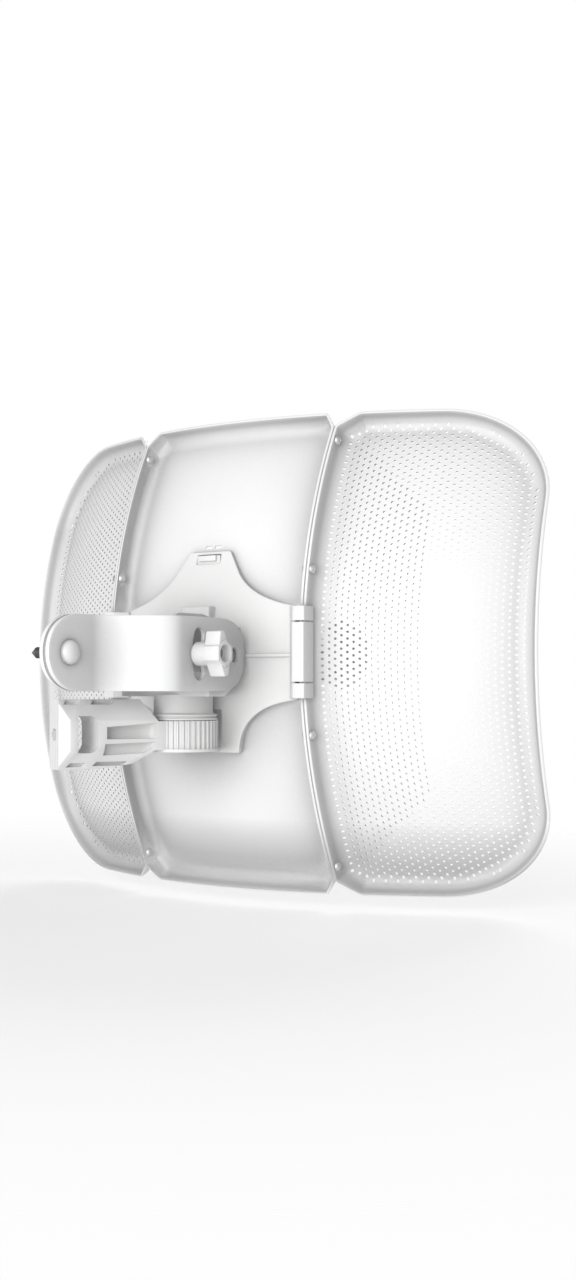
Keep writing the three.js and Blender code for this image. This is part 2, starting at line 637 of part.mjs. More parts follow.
function poleArm() {
  const section = new THREE.ExtrudeGeometry(armSection(), { depth: ARM_LENGTH, bevelEnabled: false });
  section.applyMatrix4(new THREE.Matrix4().set(1, 0, 0, 0, 0, 0, -1, 0, 0, 1, 0, 0, 0, 0, 0, 1));
  const flipped = common(section, sideways(armSide(), -20, 20), upright(armPlan(), -80, 0));
  const hub = join(upright(hubOutline(), HUB_FLOOR, HUB_TOP),
    turned([[0, HUB_FLOOR - 1.2], [HUB_R + 1.6, HUB_FLOOR - 1.2], [HUB_R + 1.6, HUB_FLOOR + 0.5],
      [0, HUB_FLOOR + 0.5]], 'z', [0, 0, 0], 32));
  const bore = rod(SPIGOT_R + GAP, 'z', BORE_FLOOR, HUB_TOP + 5, [0, 0, 0], 28);
  const boltHole = rod(3.3, 'z', -60, BORE_FLOOR + 1, [0, 0, 0], 16);
  const recess = rod(9, 'z', HUB_FLOOR - 3, RECESS_TOP, [0, 0, 0], 28);
  const windowRear = -66.9;
  const windowHalf = 9.8;
  const windowTurn = 4.5;
  const windowFront = -55.6 - windowTurn;
  const windowShape = new THREE.Shape();
  windowShape.moveTo(windowRear, SEAT_Z - windowHalf);
  windowShape.lineTo(windowFront, SEAT_Z - windowHalf);
  windowShape.absarc(windowFront, SEAT_Z - windowHalf + windowTurn, windowTurn, rad(-90), 0, false);
  windowShape.absarc(windowFront, SEAT_Z + windowHalf - windowTurn, windowTurn, 0, rad(90), false);
  windowShape.lineTo(windowRear, SEAT_Z + windowHalf);
  const strapWindow = sideways(windowShape, -20, 20, 5);
  const sidePocket = (points, depth) => [[depth, 20], [-20, -depth]].map(([x0, x1]) =>
    sideways(outline(points), x0, x1));
  const slots = sidePocket([[-50.5, -46.6], [-22, -46.7], [-22, -38.2], [-50.5, -40.2]], 4);
  const lowRecess = sidePocket([[-52.3, -55.2], [-28.5, -54.4], [-23.5, -51.2], [-22.5, -48.4],
    [-51.5, -49.2]], 7);
  const edgePocket = (y0, y1, z0, z1) => sidePocket([[y0, z0], [y1 - 2, z0], [y1, z1], [y0 + 2, z1]], 3);
  const edgePockets = [[-73.5, -63, -28.2, -25], [-58, -43.6, -28.2, -25], [-72, -61, -61.2, -59],
    [-57, -37, -60.8, -58.6]].flatMap(([y0, y1, z0, z1]) => edgePocket(y0, y1, z0, z1));
  const endHole = rod(3.25, 'y', -90, -ARM_LENGTH + 4.9, [0, 0, SEAT_Z], 16);
  const body = cut(join(flipped, hub), bore, boltHole, recess, strapWindow, ...slots, ...lowRecess,
    ...edgePockets, endHole);
  piece('pole_arm', swung(body), whitePlastic);
}

function swung(geometry) {
  return geometry.rotateZ(-rad(ARM_ANGLE)).translate(...SWIVEL);
}

function azimuthBolt() {
  const at = SWIVEL;
  const washerTop = RECESS_TOP - GAP;
  const washerBottom = washerTop - 1.2;
  const headTop = washerBottom - GAP;
  const tall = 3;
  const head = new THREE.CylinderGeometry(6.4, 6.4, tall, 6).rotateX(Math.PI / 2);
  head.translate(at[0], at[1], headTop - tall / 2);
  piece('azimuth_bolt', join(head, rod(2.9, 'z', headTop - 1, -39.5, at, 16)), zincSteel);
  const washer = [[3.3, washerBottom], [8.4, washerBottom], [8.4, washerTop], [3.3, washerTop]];
  piece('azimuth_washer', turned([...washer, washer[0]], 'z', at, 20), zincSteel);
}

// ---- feed: radio housing on the dish axis, with its electronics and the disc in front ------------------
const FEED_AXIS = [0, 0, FEED_Z];
const SHELL_BACK = 5;

function feedShell() {
  const wall = 2;
  const profile = [[FEED_R - wall, SHELL_BACK], [FEED_R, SHELL_BACK], [FEED_R - 2, FEED_FRONT],
    [FEED_R - 2 - wall, FEED_FRONT], [FEED_R - wall, SHELL_BACK]];
  return turned(profile, 'y', FEED_AXIS, 32);
}

function feedHousing() {
  const shell = feedShell();
  const lower = common(shell, box([-30, 30], [-10, 130], [-40, FEED_Z - GAP / 2]));
  const upper = common(shell, box([-30, 30], [-10, 130], [FEED_Z + GAP / 2, 40]));
  const portOpening = box([-8.5, 8.5], [14, 34], [-40, -2]);
  const resetHole = rod(1.7, 'z', -40, -2, [0, 46, 0], 12);
  const lightHoles = [58, 64, 70].map((y) => rod(1.3, 'z', 5, 40, [0, y, 0], 10));
  piece('feed_lower_shell', cut(lower, portOpening, resetHole), whitePlastic);
  piece('feed_upper_shell', cut(upper, ...lightHoles), whitePlastic);
  const plug = rod(FEED_R - 2.4, 'y', 2.5, SHELL_BACK + 5, FEED_AXIS, 28);
  const tabs = box([-5.8, 5.8], [-8.6, 3.4], [12.4, 15.6]);
  piece('feed_base_plug', join(plug, tabs), whitePlastic);
  const collar = [[FEED_R + GAP, 10.6], [FEED_R + GAP, 4.8], [FEED_R + 1.5, 4.6], [FEED_R + 8, 5.2],
    [FEED_R + 7.2, 7.4], [FEED_R + 3, 10.6], [FEED_R + GAP, 10.6]];
  piece('feed_collar', turned(collar, 'y', FEED_AXIS, 32), whitePlastic);
  const seal = [[FEED_R + GAP, 2.6], [FEED_R + 2.6, 2.6], [FEED_R + 2.6, 4.2], [FEED_R + GAP, 4.2],
    [FEED_R + GAP, 2.6]];
  piece('feed_seal', turned(seal, 'y', FEED_AXIS, 28), darkRubber);
}

function feedFront() {
  const r = FEED_R - 2;
  const nose = [[0, FEED_FRONT + GAP], [r, FEED_FRONT + GAP], [r, FEED_FRONT + 4], [r - 1.5, FEED_FRONT + 7],
    [9, DISC_FRONT - 7], [7.5, DISC_FRONT - 4], [7.5, DISC_FRONT - 2.9], [0, DISC_FRONT - 2.9]];
  piece('feed_nose', turned(nose, 'y', FEED_AXIS, 28), whitePlastic);
  const disc = [[0, DISC_FRONT - 2.6], [DISC_R - 0.6, DISC_FRONT - 2.6], [DISC_R, DISC_FRONT - 2],
    [DISC_R, DISC_FRONT - 0.6], [DISC_R - 0.6, DISC_FRONT], [0, DISC_FRONT]];
  piece('sub_reflector', turned(disc, 'y', FEED_AXIS, 32), paintedSteel);
}

function electronics() {
  const board = box([-11.6, 11.6], [12, 106], [FEED_Z - 0.8, FEED_Z + 0.8]);
  piece('main_board', board, boardGreen);
  const can = cut(box([-9.5, 9.5], [66, 100], [FEED_Z + 1.1, FEED_Z + 6]),
    box([-9, 9], [66.5, 99.5], [FEED_Z, FEED_Z + 5.5]));
  piece('rf_shield', can, tinPlate);
  const jack = cut(box([-8, 8], [15, 33], [-12.4, FEED_Z - 1.1]), box([-6, 6], [17.5, 30.5], [-14, -3]));
  piece('ethernet_jack', jack, jackPlastic);
  const throat = box([-7.5, 7.5], [101, 112], [-4.4, -0.8]);
  const waveguide = cut(box([-9.5, 9.5], [102, 110.5], [-6, 0.8]), throat);
  piece('radiator', waveguide, copperFace);
  const pipe = join(box([-1.5, 1.5], [56.4, 71.6], [9.5, 11.5]), ...[58, 64, 70].map((y) =>
    rod(1, 'z', 10, 19, [0, y, 0], 10)));
  piece('light_pipe', pipe, clearPlastic);
  const button = join(rod(1.4, 'z', -14.6, -9, [0, 46, 0], 12), rod(2.6, 'z', -10.8, -9, [0, 46, 0], 12));
  piece('reset_button', button, darkRubber);
  piece('reset_switch', box([-3, 3], [43, 49], [-7.7, FEED_Z - 1.1]), jackPlastic);
}

// Curved door under the cable inlet; it slides forward along the housing.
function portDoor() {
  const r = FEED_R + 0.4;
  const shape = new THREE.Shape();
  const half = rad(36);
  shape.absarc(0, 0, r + 1.6, -Math.PI / 2 - half, -Math.PI / 2 + half, false);
  shape.absarc(0, 0, r, -Math.PI / 2 + half, -Math.PI / 2 - half, true);
  const body = new THREE.ExtrudeGeometry(shape, { depth: 25.5, bevelEnabled: false, curveSegments: 8 });
  body.applyMatrix4(new THREE.Matrix4().set(1, 0, 0, 0, 0, 0, -1, 37, 0, 1, 0, FEED_Z, 0, 0, 0, 1));
  const grip = box([-5, 5], [31, 33], [-18.4, -16.9]);
  piece('port_door', join(body, grip), whitePlastic);
}

reflector();
rivets();
rearBracket();
topLatch();
yoke();
yokeSpacer();
rearBolt();
pivotBushings();
lockBolt();
wingNut();
swivelPost();
cheekScrews();
poleArm();
azimuthBolt();
feedHousing();
feedFront();
electronics();
portDoor();

const seatX = SWIVEL[0] - ARM_LENGTH * Math.sin(rad(ARM_ANGLE));
const seatY = SWIVEL[1] - ARM_LENGTH * Math.cos(rad(ARM_ANGLE));
object.position.set(-seatX, -seatY, -SEAT_Z);

export default object;
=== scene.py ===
"""Outdoor wireless bridge: fine surfaces, materials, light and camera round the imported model.

Lengths are in millimetres about the vertex of the dish, +X right seen from behind, +Y the way the dish
looks, +Z up, as in the design. metres() turns them into the part's own frame.
"""
import json
import math

import bmesh
import bpy
import numpy as np
from mathutils import Matrix, Vector
from mathutils.geometry import delaunay_2d_cdt

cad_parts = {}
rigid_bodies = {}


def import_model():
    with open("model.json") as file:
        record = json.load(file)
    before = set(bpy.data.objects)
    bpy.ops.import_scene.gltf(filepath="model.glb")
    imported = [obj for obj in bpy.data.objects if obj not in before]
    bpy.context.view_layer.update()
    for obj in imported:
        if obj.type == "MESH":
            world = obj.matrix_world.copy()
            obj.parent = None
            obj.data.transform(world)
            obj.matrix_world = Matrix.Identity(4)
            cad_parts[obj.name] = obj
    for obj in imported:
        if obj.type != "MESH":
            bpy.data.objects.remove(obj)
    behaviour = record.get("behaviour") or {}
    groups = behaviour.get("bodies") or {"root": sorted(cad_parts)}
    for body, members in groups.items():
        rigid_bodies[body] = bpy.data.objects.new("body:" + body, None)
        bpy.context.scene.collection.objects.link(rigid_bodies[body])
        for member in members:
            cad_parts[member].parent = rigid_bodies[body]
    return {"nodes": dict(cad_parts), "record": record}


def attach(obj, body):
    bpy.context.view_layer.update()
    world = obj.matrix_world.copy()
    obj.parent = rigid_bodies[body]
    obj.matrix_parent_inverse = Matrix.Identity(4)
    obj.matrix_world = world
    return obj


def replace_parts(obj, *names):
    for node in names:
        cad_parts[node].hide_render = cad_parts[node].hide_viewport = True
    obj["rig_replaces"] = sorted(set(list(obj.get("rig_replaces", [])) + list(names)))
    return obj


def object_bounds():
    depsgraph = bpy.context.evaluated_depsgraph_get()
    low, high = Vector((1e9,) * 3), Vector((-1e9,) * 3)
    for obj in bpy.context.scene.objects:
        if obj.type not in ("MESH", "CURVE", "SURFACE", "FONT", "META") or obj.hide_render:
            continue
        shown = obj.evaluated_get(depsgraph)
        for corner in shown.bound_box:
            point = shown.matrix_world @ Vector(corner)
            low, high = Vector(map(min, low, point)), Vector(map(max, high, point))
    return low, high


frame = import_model()
CAD_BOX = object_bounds()
MM = 0.001

# ---- sizes shared with the design ----------------------------------------------------------------
FOCAL = 117.0                       # focal length of the paraboloid
SHEET = 1.5                         # thickness of the reflector panels
BASE_X, BASE_Z = 173.0, 130.0       # half width and half height of the dish at its flange
CORNER_X, CORNER_Z = 56.0, 50.0     # outer corner ellipses
SEAM_X = 67.35                      # plane where a wing meets the centre panel
GAP = 0.3
CHAMFER = 9.0
RIM, SEAM_RIM = 10.3, 12.0          # depth of the flanges
FILLET = 6.5                        # inside radius between panel and flange
RIVET_Z = (118.0, 45.0, -45.0, -118.0)
PLATE_BACK = 5.0                    # rear skin of the bracket's cross plate, behind the dish

MOUNT_Z = -1.5
TILT_Y, LOCK_Y = -16.5, -49.0
PIVOT_BORE = 4.0                    # hole through the hollow pivots
TOP_THINNING = 0.5                  # share of its height that the cross plate loses at the top foot
YOKE_HALF, YOKE_THICK, YOKE_TALL = 33.0, 2.4, 39.4
YOKE_FRONT, YOKE_REAR = -7.0, -131.0
REAR_BOLT_Y = -116.0
TAIL_OUT = 3.2
SLOT_HALF_ANGLE, SLOT_HALF_WIDTH = 17.0, 4.3
EAR_IN, EAR_OUT = 24.6, 27.3
CHEEK_IN, CHEEK_OUT, CHEEK_FRONT, CHEEK_REAR = 27.6, 30.3, -9.2, -36.0
CHEEK_SCREWS = ((-30.0, -14.5), (-15.5, -13.5))
SADDLE_TOP, SADDLE_BOTTOM = -19.0, -24.0
SWIVEL_X, SWIVEL_Y = 2.0, -22.0
HUB_R, HUB_TOP, HUB_FLOOR = 18.5, -37.3, -53.0
NECK_R, NECK_STEP, SPIGOT_R = 16.3, -33.4, 11.0
BORE_FLOOR = -47.0
RECESS_TOP = -49.2
ARM_LENGTH, ARM_ANGLE, SEAT_Z = 76.0, 25.0, -44.0
FEED_R, FEED_Z = 17.0, 2.0

HOLE_R = 0.75                       # perforation of the wings
HOLE_FLARE = 0.45                   # share by which a hole widens toward the front
HOLE_ROW, HOLE_COLUMN = 3.65, 3.2
HOLE_MARGIN = 3.5                   # least distance from a hole's middle to the edge

VERTEX = np.array([
    ARM_LENGTH * math.sin(math.radians(ARM_ANGLE)) - SWIVEL_X,
    ARM_LENGTH * math.cos(math.radians(ARM_ANGLE)) - SWIVEL_Y,
    -SEAT_Z,
])


def metres(points):
    """Millimetres about the dish's vertex to metres in the part's frame."""
    return (np.asarray(points, float) + VERTEX) * MM


# ---- materials -----------------------------------------------------------------------------------
MIX_A, MIX_B, MIX_RESULT = 6, 7, 2      # colour sockets of a Mix node


def new_material(name, color, roughness, metallic=0.0):
    material = bpy.data.materials.new(name)
    material.use_nodes = True
    shader = material.node_tree.nodes["Principled BSDF"]
    shader.inputs["Base Color"].default_value = (*color, 1)
    shader.inputs["Roughness"].default_value = roughness
    shader.inputs["Metallic"].default_value = metallic
    return material, material.node_tree, shader


def noise(tree, scale, detail=3.0, roughness=0.5, stretch=(1, 1, 1)):
    place = tree.nodes.new("ShaderNodeTexCoord")
    mapping = tree.nodes.new("ShaderNodeMapping")
    mapping.inputs["Scale"].default_value = stretch
    texture = tree.nodes.new("ShaderNodeTexNoise")
    texture.inputs["Scale"].default_value = scale
    texture.inputs["Detail"].default_value = detail
    texture.inputs["Roughness"].default_value = roughness
    tree.links.new(place.outputs["Object"], mapping.inputs["Vector"])
    tree.links.new(mapping.outputs["Vector"], texture.inputs["Vector"])
    return texture.outputs["Fac"]


def ramp(tree, source, low, high, at=(0.3, 0.7)):
    node = tree.nodes.new("ShaderNodeValToRGB")
    for element, place, tone in zip(node.color_ramp.elements, at, (low, high)):
        element.position = place
        element.color = (*tone, 1)
    tree.links.new(source, node.inputs["Fac"])
    return node.outputs["Color"]


def grey(value):
    return (value, value, value)


def add_bump(tree, shader, height, strength, distance):
    bump = tree.nodes.new("ShaderNodeBump")
    bump.inputs["Strength"].default_value = strength
    bump.inputs["Distance"].default_value = distance
    tree.links.new(height, bump.inputs["Height"])
    tree.links.new(bump.outputs["Normal"], shader.inputs["Normal"])


def color_mix(tree, first, blend="MIX"):
    """Colour mix of a socket with a second colour."""
    mix = tree.nodes.new("ShaderNodeMix")
    mix.data_type = "RGBA"
    mix.blend_type = blend
    tree.links.new(first, mix.inputs[MIX_A])
    return mix


def painted_corner_shade(tree, tone, reach, darkest):
    """Tone multiplied by painted shade: darker in corners and next to other parts, from ambient occlusion
    up to a reach in metres; narrow gaps and holes are left almost unshaded.
    """
    closed = tree.nodes.new("ShaderNodeAmbientOcclusion")
    closed.samples = 8
    closed.inputs["Distance"].default_value = reach
    gap, corner, nearly_open = 0.36, 0.5, 0.86      # shares of open sky
    level = ramp(tree, closed.outputs["AO"], grey(0.95), grey(1.0), (gap, 1.0))
    for place, part in ((corner, darkest), (nearly_open, 0.4 * darkest + 0.6)):
        stop = level.node.color_ramp.elements.new(place)
        stop.color = (*grey(part), 1)
    mix = color_mix(tree, tone, "MULTIPLY")
    mix.inputs["Factor"].default_value = 1.0
    tree.links.new(level, mix.inputs[MIX_B])
    return mix.outputs[MIX_RESULT]


def powder_coat():
    """White powder coat on sheet: orange peel about two millimetres across and a faint change of tone."""
    material, tree, shader = new_material("powder_coat", grey(0.87), 0.4)
    tone = ramp(tree, noise(tree, 14.0, 4.0), (0.77, 0.77, 0.773), (0.8, 0.8, 0.798))
    # base colour carries painted shade, darkest in corners and beside other parts, over a 50 mm reach
    tree.links.new(painted_corner_shade(tree, tone, 0.05, 0.45), shader.inputs["Base Color"])
    sheen = ramp(tree, noise(tree, 60.0), grey(0.36), grey(0.46))
    tree.links.new(sheen, shader.inputs["Roughness"])
    add_bump(tree, shader, noise(tree, 520.0, 4.0, 0.55), 0.1, 0.00012)
    return material


def moulded_plastic():
    """White weatherproof plastic with a fine spark-eroded grain."""
    material, tree, shader = new_material("moulded_plastic", (0.87, 0.87, 0.865), 0.5)
    tone = ramp(tree, noise(tree, 22.0), (0.72, 0.72, 0.717), (0.75, 0.75, 0.747))
    # base colour carries a lighter painted shade in corners and beside other parts, over a 30 mm reach
    tree.links.new(painted_corner_shade(tree, tone, 0.03, 0.78), shader.inputs["Base Color"])
    sheen = ramp(tree, noise(tree, 90.0, 2.0), grey(0.44), grey(0.55))
    tree.links.new(sheen, shader.inputs["Roughness"])
    add_bump(tree, shader, noise(tree, 1500.0, 3.0, 0.6), 0.14, 0.0001)
    return material


def plated(name, tone, tint=(1.0, 1.0, 1.0), low=0.26, high=0.44):
    """Plated metal: cloudy tone, turning marks and small pits."""
    material, tree, shader = new_material(name, grey(tone), 0.34, 1.0)
    bright = tuple(tone * part for part in tint)
    dull = tuple(0.85 * part for part in bright)
    tree.links.new(ramp(tree, noise(tree, 160.0, 4.0), dull, bright), shader.inputs["Base Color"])
    marks = noise(tree, 900.0, 3.0, 0.6, (0.25, 1.0, 1.0))
    tree.links.new(ramp(tree, marks, grey(low), grey(high)), shader.inputs["Roughness"])
    add_bump(tree, shader, marks, 0.2, 0.00006)
    return material


def grained(name, color, roughness, grain=1400.0):
    """Rubber, dark plastic or solder mask: slight clouds in the tone and a fine grain."""
    material, tree, shader = new_material(name, color, roughness)
    dark = tuple(0.85 * part for part in color)
    tree.links.new(ramp(tree, noise(tree, 120.0), dark, color), shader.inputs["Base Color"])
    add_bump(tree, shader, noise(tree, grain, 2.0), 0.15, 0.0001)
    return material


def light_guide():
    material, tree, shader = new_material("light_guide", (0.86, 0.9, 0.92), 0.18)
    shader.inputs["Transmission Weight"].default_value = 0.5
    add_bump(tree, shader, noise(tree, 800.0, 2.0), 0.05, 0.00005)
    return material


def bolt_coat():
    """White powder coat on the head; the thread that stands out of the nut is bare and dark."""
    material = powder_coat()
    tree = material.node_tree
    shader = tree.nodes["Principled BSDF"]
    place = tree.nodes.new("ShaderNodeTexCoord")
    along = tree.nodes.new("ShaderNodeSeparateXYZ")
    tree.links.new(place.outputs["Object"], along.inputs["Vector"])
    bare = tree.nodes.new("ShaderNodeMath")
    bare.operation = "LESS_THAN"
    bare.inputs[1].default_value = metres((-TAIL_OUT, 0, 0))[0]
    tree.links.new(along.outputs["X"], bare.inputs[0])
    mix = color_mix(tree, shader.inputs["Base Color"].links[0].from_socket)
    tree.links.new(bare.outputs["Value"], mix.inputs["Factor"])
    mix.inputs[MIX_B].default_value = (*grey(0.06), 1)
    tree.links.new(mix.outputs[MIX_RESULT], shader.inputs["Base Color"])
    return material


MATERIALS = {
    "painted_sheet": powder_coat(),
    "white_plastic": moulded_plastic(),
    "zinc_steel": plated("zinc_plate", 0.8, low=0.5, high=0.68),
    "dark_rubber": grained("dark_rubber", (0.035, 0.035, 0.036), 0.75),
    "black_plastic": grained("black_plastic", (0.022, 0.022, 0.024), 0.5),
    "circuit_board": grained("solder_mask", (0.02, 0.14, 0.06), 0.35, 700.0),
    "tin_plate": plated("tin_plate", 0.78),
    "copper_face": plated("copper_face", 0.75, (1.0, 0.6, 0.38)),
    "clear_plastic": light_guide(),
}
SLOT_OF = {part["node"]: part["material_slot"] for part in frame["record"]["subparts"]}
BODY_OF = {node: body for body, nodes in frame["record"]["behaviour"]["bodies"].items() for node in nodes}


def stands_for(piece, node, sharp=32.0):
    """Gives a piece the finish, shading and body of the node that it replaces."""
    piece.data.materials.clear()
    piece.data.materials.append(MATERIALS[SLOT_OF[node]])
    piece.data.shade_smooth()
    piece.data.set_sharp_from_angle(angle=math.radians(sharp))
    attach(piece, BODY_OF[node])
    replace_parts(piece, node)
    return piece


# ---- mesh helpers --------------------------------------------------------------------------------
def new_object(name, mesh):
    piece = bpy.data.objects.new(name, mesh)
    bpy.context.scene.collection.objects.link(piece)
    return piece


def closed_mesh(name, points, faces):
    """Object from points in millimetres, with its normals made to point outward."""
    mesh = bpy.data.meshes.new(name)
    mesh.from_pydata(metres(points).tolist(), [], faces)
    work = bmesh.new()
    work.from_mesh(mesh)
    bmesh.ops.recalc_face_normals(work, faces=work.faces)
    work.to_mesh(mesh)
    work.free()
    return new_object(name, mesh)


def mirrored(piece, name):
    """Copy of a piece on the other side of the dish's middle plane."""
    mesh = piece.data.copy()
    flip = Matrix.Translation((2 * VERTEX[0] * MM, 0, 0)) @ Matrix.Diagonal((-1, 1, 1, 1))
    mesh.transform(flip)
    mesh.flip_normals()
    return new_object(name, mesh)


def inside(point, loop):
    x, y = point
    odd = False
    for i in range(len(loop)):
        (x0, y0), (x1, y1) = loop[i - 1], loop[i]
        if (y0 > y) != (y1 > y) and x < (x1 - x0) * (y - y0) / (y1 - y0) + x0:
            odd = not odd
    return odd


def triangulate(loops, grid):
    """Triangles of the material between the outer loop and the hole loops, with every 2-D point."""
    flat = [tuple(p) for loop in loops for p in loop] + [tuple(p) for p in grid]
    owner = [n for n, loop in enumerate(loops) for _ in loop] + [-1] * len(grid)
    edges = []
    start = 0
    for loop in loops:
        edges += [(start + i, start + (i + 1) % len(loop)) for i in range(len(loop))]
        start += len(loop)
    result = delaunay_2d_cdt([Vector(p) for p in flat], edges, [], 1, 1e-6)
    origin = [source[0] for source in result[3]]
    triangles = []
    for face in result[2]:
        ids = [origin[i] for i in face]
        owners = {owner[i] for i in ids}
        hole = owners.pop() if len(owners) == 1 else -1
        if hole > 0 and inside(np.mean([flat[i] for i in ids], axis=0), loops[hole]):
            continue
        triangles.append(tuple(ids))
    return np.array(flat), triangles


def sheet(name, loops, grid, rear, front, rims):
    """Closed sheet. rear and front map 2-D points to 3-D. rims[n] lists the rows of 3-D points that join
    the rear edge of loop n to its front edge."""
    flat, triangles = triangulate(loops, grid)
    count = len(flat)
    points = [rear(flat), front(flat)]
    faces = triangles + [tuple(i + count for i in reversed(t)) for t in triangles]
    total = 2 * count
    start = 0
    for loop, rows in zip(loops, rims):
        size = len(loop)
        chain = [range(start, start + size)]
        for row in rows:
            points.append(row)
            chain.append(range(total, total + size))
            total += size
        chain.append(range(start + count, start + count + size))
        for a, b in zip(chain, chain[1:]):
            faces += [(a[i], a[(i + 1) % size], b[(i + 1) % size], b[i]) for i in range(size)]
        start += size
    return closed_mesh(name, np.concatenate(points), faces)


def into_material(loop):
    """Unit vectors to the left of a loop, lengthened at corners so that an inset stays parallel."""
    before = loop - np.roll(loop, 1, axis=0)
    after = np.roll(loop, -1, axis=0) - loop
    before /= np.linalg.norm(before, axis=1)[:, None]
    after /= np.linalg.norm(after, axis=1)[:, None]
    normal = np.stack([-before[:, 1] - after[:, 1], before[:, 0] + after[:, 0]], axis=1)
    normal /= np.linalg.norm(normal, axis=1)[:, None]
    side = np.stack([-before[:, 1], before[:, 0]], axis=1)
    return normal / np.maximum(0.5, np.sum(normal * side, axis=1))[:, None]


def plate(name, loops, place, thick, soft=0.4, grid=(), turn=3):
    """Closed plate with rounded edges. Each loop has the material on its left, and place(flat, depth)
    gives the 3-D points at a depth under the outer skin."""
    angles = [math.radians(90 * i / turn) for i in range(1, turn + 1)]
    bend = [(soft * (1 - math.sin(a)), soft * (1 - math.cos(a))) for a in angles]
    edges, rims = [], []
    for loop in loops:
        normals = into_material(loop)
        rows = [place(loop + normals * inset, depth) for inset, depth in bend]
        rows += [place(loop + normals * inset, thick - depth) for inset, depth in reversed(bend)]
        edges.append(loop + normals * soft)
        rims.append(rows)
    return sheet(name, edges, grid, lambda f: place(f, 0.0), lambda f: place(f, thick), rims)


def lathe(name, profile, axis, centre, steps=72):
    """Profile of (radius, height) pairs turned about X, Y or Z; a ring's profile closes on itself."""
    order = {"x": (1, 2, 0), "y": (2, 0, 1), "z": (0, 1, 2)}[axis]
    ring = len(profile) > 2 and profile[0] == profile[-1]
    rows = profile[:-1] if ring else profile
    turn = 2 * np.pi * np.arange(steps) / steps
    points, chain = [], []
    for radius, height in rows:
        first = len(points)
        if radius < 1e-6:
            points.append((0.0, 0.0, height))
            chain.append([first] * steps)
        else:
            points += list(zip(radius * np.cos(turn), radius * np.sin(turn), np.full(steps, height)))
            chain.append(list(range(first, first + steps)))
    faces = []
    pairs = list(zip(chain, chain[1:] + chain[:1])) if ring else list(zip(chain, chain[1:]))
    for a, b in pairs:
        for i in range(steps):
            j = (i + 1) % steps
            face = [a[i], a[j], b[j], b[i]]
            face = [v for n, v in enumerate(face) if v not in face[:n]]
            if len(face) > 2:
                faces.append(tuple(face))
    placed = np.empty((len(points), 3))
    placed[:, order] = points
    return closed_mesh(name, placed + np.array(centre), faces)


def line(a, b, step):
    """Points from a up to, not including, b."""
    a, b = np.array(a, float), np.array(b, float)
    count = max(1, round(np.linalg.norm(b - a) / step))
    return [a + (b - a) * i / count for i in range(count)]


def arc(centre, radii, start, end, count):
    """Points of an ellipse between two angles in degrees, not including the last."""
    angles = np.radians(start + (end - start) * np.arange(count) / count)
    return [np.array([centre[0] + radii[0] * math.cos(a), centre[1] + radii[1] * math.sin(a)])
            for a in angles]


def circle(centre, radius, count=32):
    """Hole loop: clockwise, so that the material is on its left."""
    return np.array(arc(centre, (radius, radius), 360, 0, count))


def rounded(corners, radii, step=3.0, turn=5, closed=True):
    """Path with rounded corners. An open path starts at its first corner and stops short of its last."""
    corners = [np.array(c, float) for c in corners]
    count = len(corners)
    radii = [radii] * count if np.isscalar(radii) else list(radii)
    parts = []
    for i, corner in enumerate(corners):
        at_end = not closed and i in (0, count - 1)
        if radii[i] <= 0 or at_end:
            parts.append([corner])
            continue
        back = corners[i - 1] - corner
        ahead = corners[(i + 1) % count] - corner
        back /= np.linalg.norm(back)
        ahead /= np.linalg.norm(ahead)
        half = math.acos(float(np.clip(back @ ahead, -1, 1))) / 2
        reach = radii[i] / math.tan(half)
        a, b = corner + back * reach, corner + ahead * reach
        middle = corner + (back + ahead) / np.linalg.norm(back + ahead) * radii[i] / math.sin(half)
        start = math.atan2(a[1] - middle[1], a[0] - middle[0])
        end = math.atan2(b[1] - middle[1], b[0] - middle[0])
        sweep = (end - start + math.pi) % (2 * math.pi) - math.pi
        turns = [start + sweep * k / turn for k in range(turn + 1)]
        parts.append([middle + radii[i] * np.array([math.cos(t), math.sin(t)]) for t in turns])
    points = []
    for i in range(count if closed else count - 1):
        points += parts[i][:-1] + line(parts[i][-1], parts[(i + 1) % count][0], step)
    return points


# ---- dish surface --------------------------------------------------------------------------------
def dish_y(x, z):
    return (x * x + z * z) / (4 * FOCAL)


def dish_place(flat, k, planar=0.0):
    """Points at height k behind the dish, square to it, or at constant X where planar is 1."""
    x, z = flat[:, 0], flat[:, 1]
    away = np.stack([x / (2 * FOCAL) * (1 - planar), -np.ones(len(x)), z / (2 * FOCAL)], axis=1)
    away /= np.linalg.norm(away, axis=1)[:, None]
    return np.stack([x, dish_y(x, z), z], axis=1) + away * np.reshape(k, (-1, 1))


def edge_distance(flat, loop):
    """Distance from each point to a closed loop, the unit vector away, and the nearest side's index."""
    best = np.full(len(flat), 1e9)
    away = np.zeros((len(flat), 2))
    which = np.zeros(len(flat), int)
    for i, (a, b) in enumerate(zip(loop, np.roll(loop, -1, axis=0))):
        span = b - a
        t = np.clip(((flat - a) @ span) / (span @ span), 0, 1)
        off = flat - (a + t[:, None] * span)
        distance = np.linalg.norm(off, axis=1)
        closer = distance < best
        best[closer] = distance[closer]
        which[closer] = i
        away[closer] = off[closer] / np.maximum(distance[closer], 1e-9)[:, None]
    return best, away, which


def inner_grid(edge, clear, step, holes=(), hole_clear=0.5):
    """Points of a triangular grid inside a loop, clear of its edge and of the holes."""
    low, high = edge.min(axis=0), edge.max(axis=0)
    rows = np.arange(low[1] + step / 2, high[1], step * math.sqrt(3) / 2)
    spots = np.array([(x + (n % 2) * step / 2, z) for n, z in enumerate(rows)
                      for x in np.arange(low[0] + step / 2, high[0], step)])
    spots = np.array([p for p in spots if inside(p, edge)])
    spots = spots[edge_distance(spots, edge)[0] > clear]
    return clear_of(spots, holes, hole_clear)


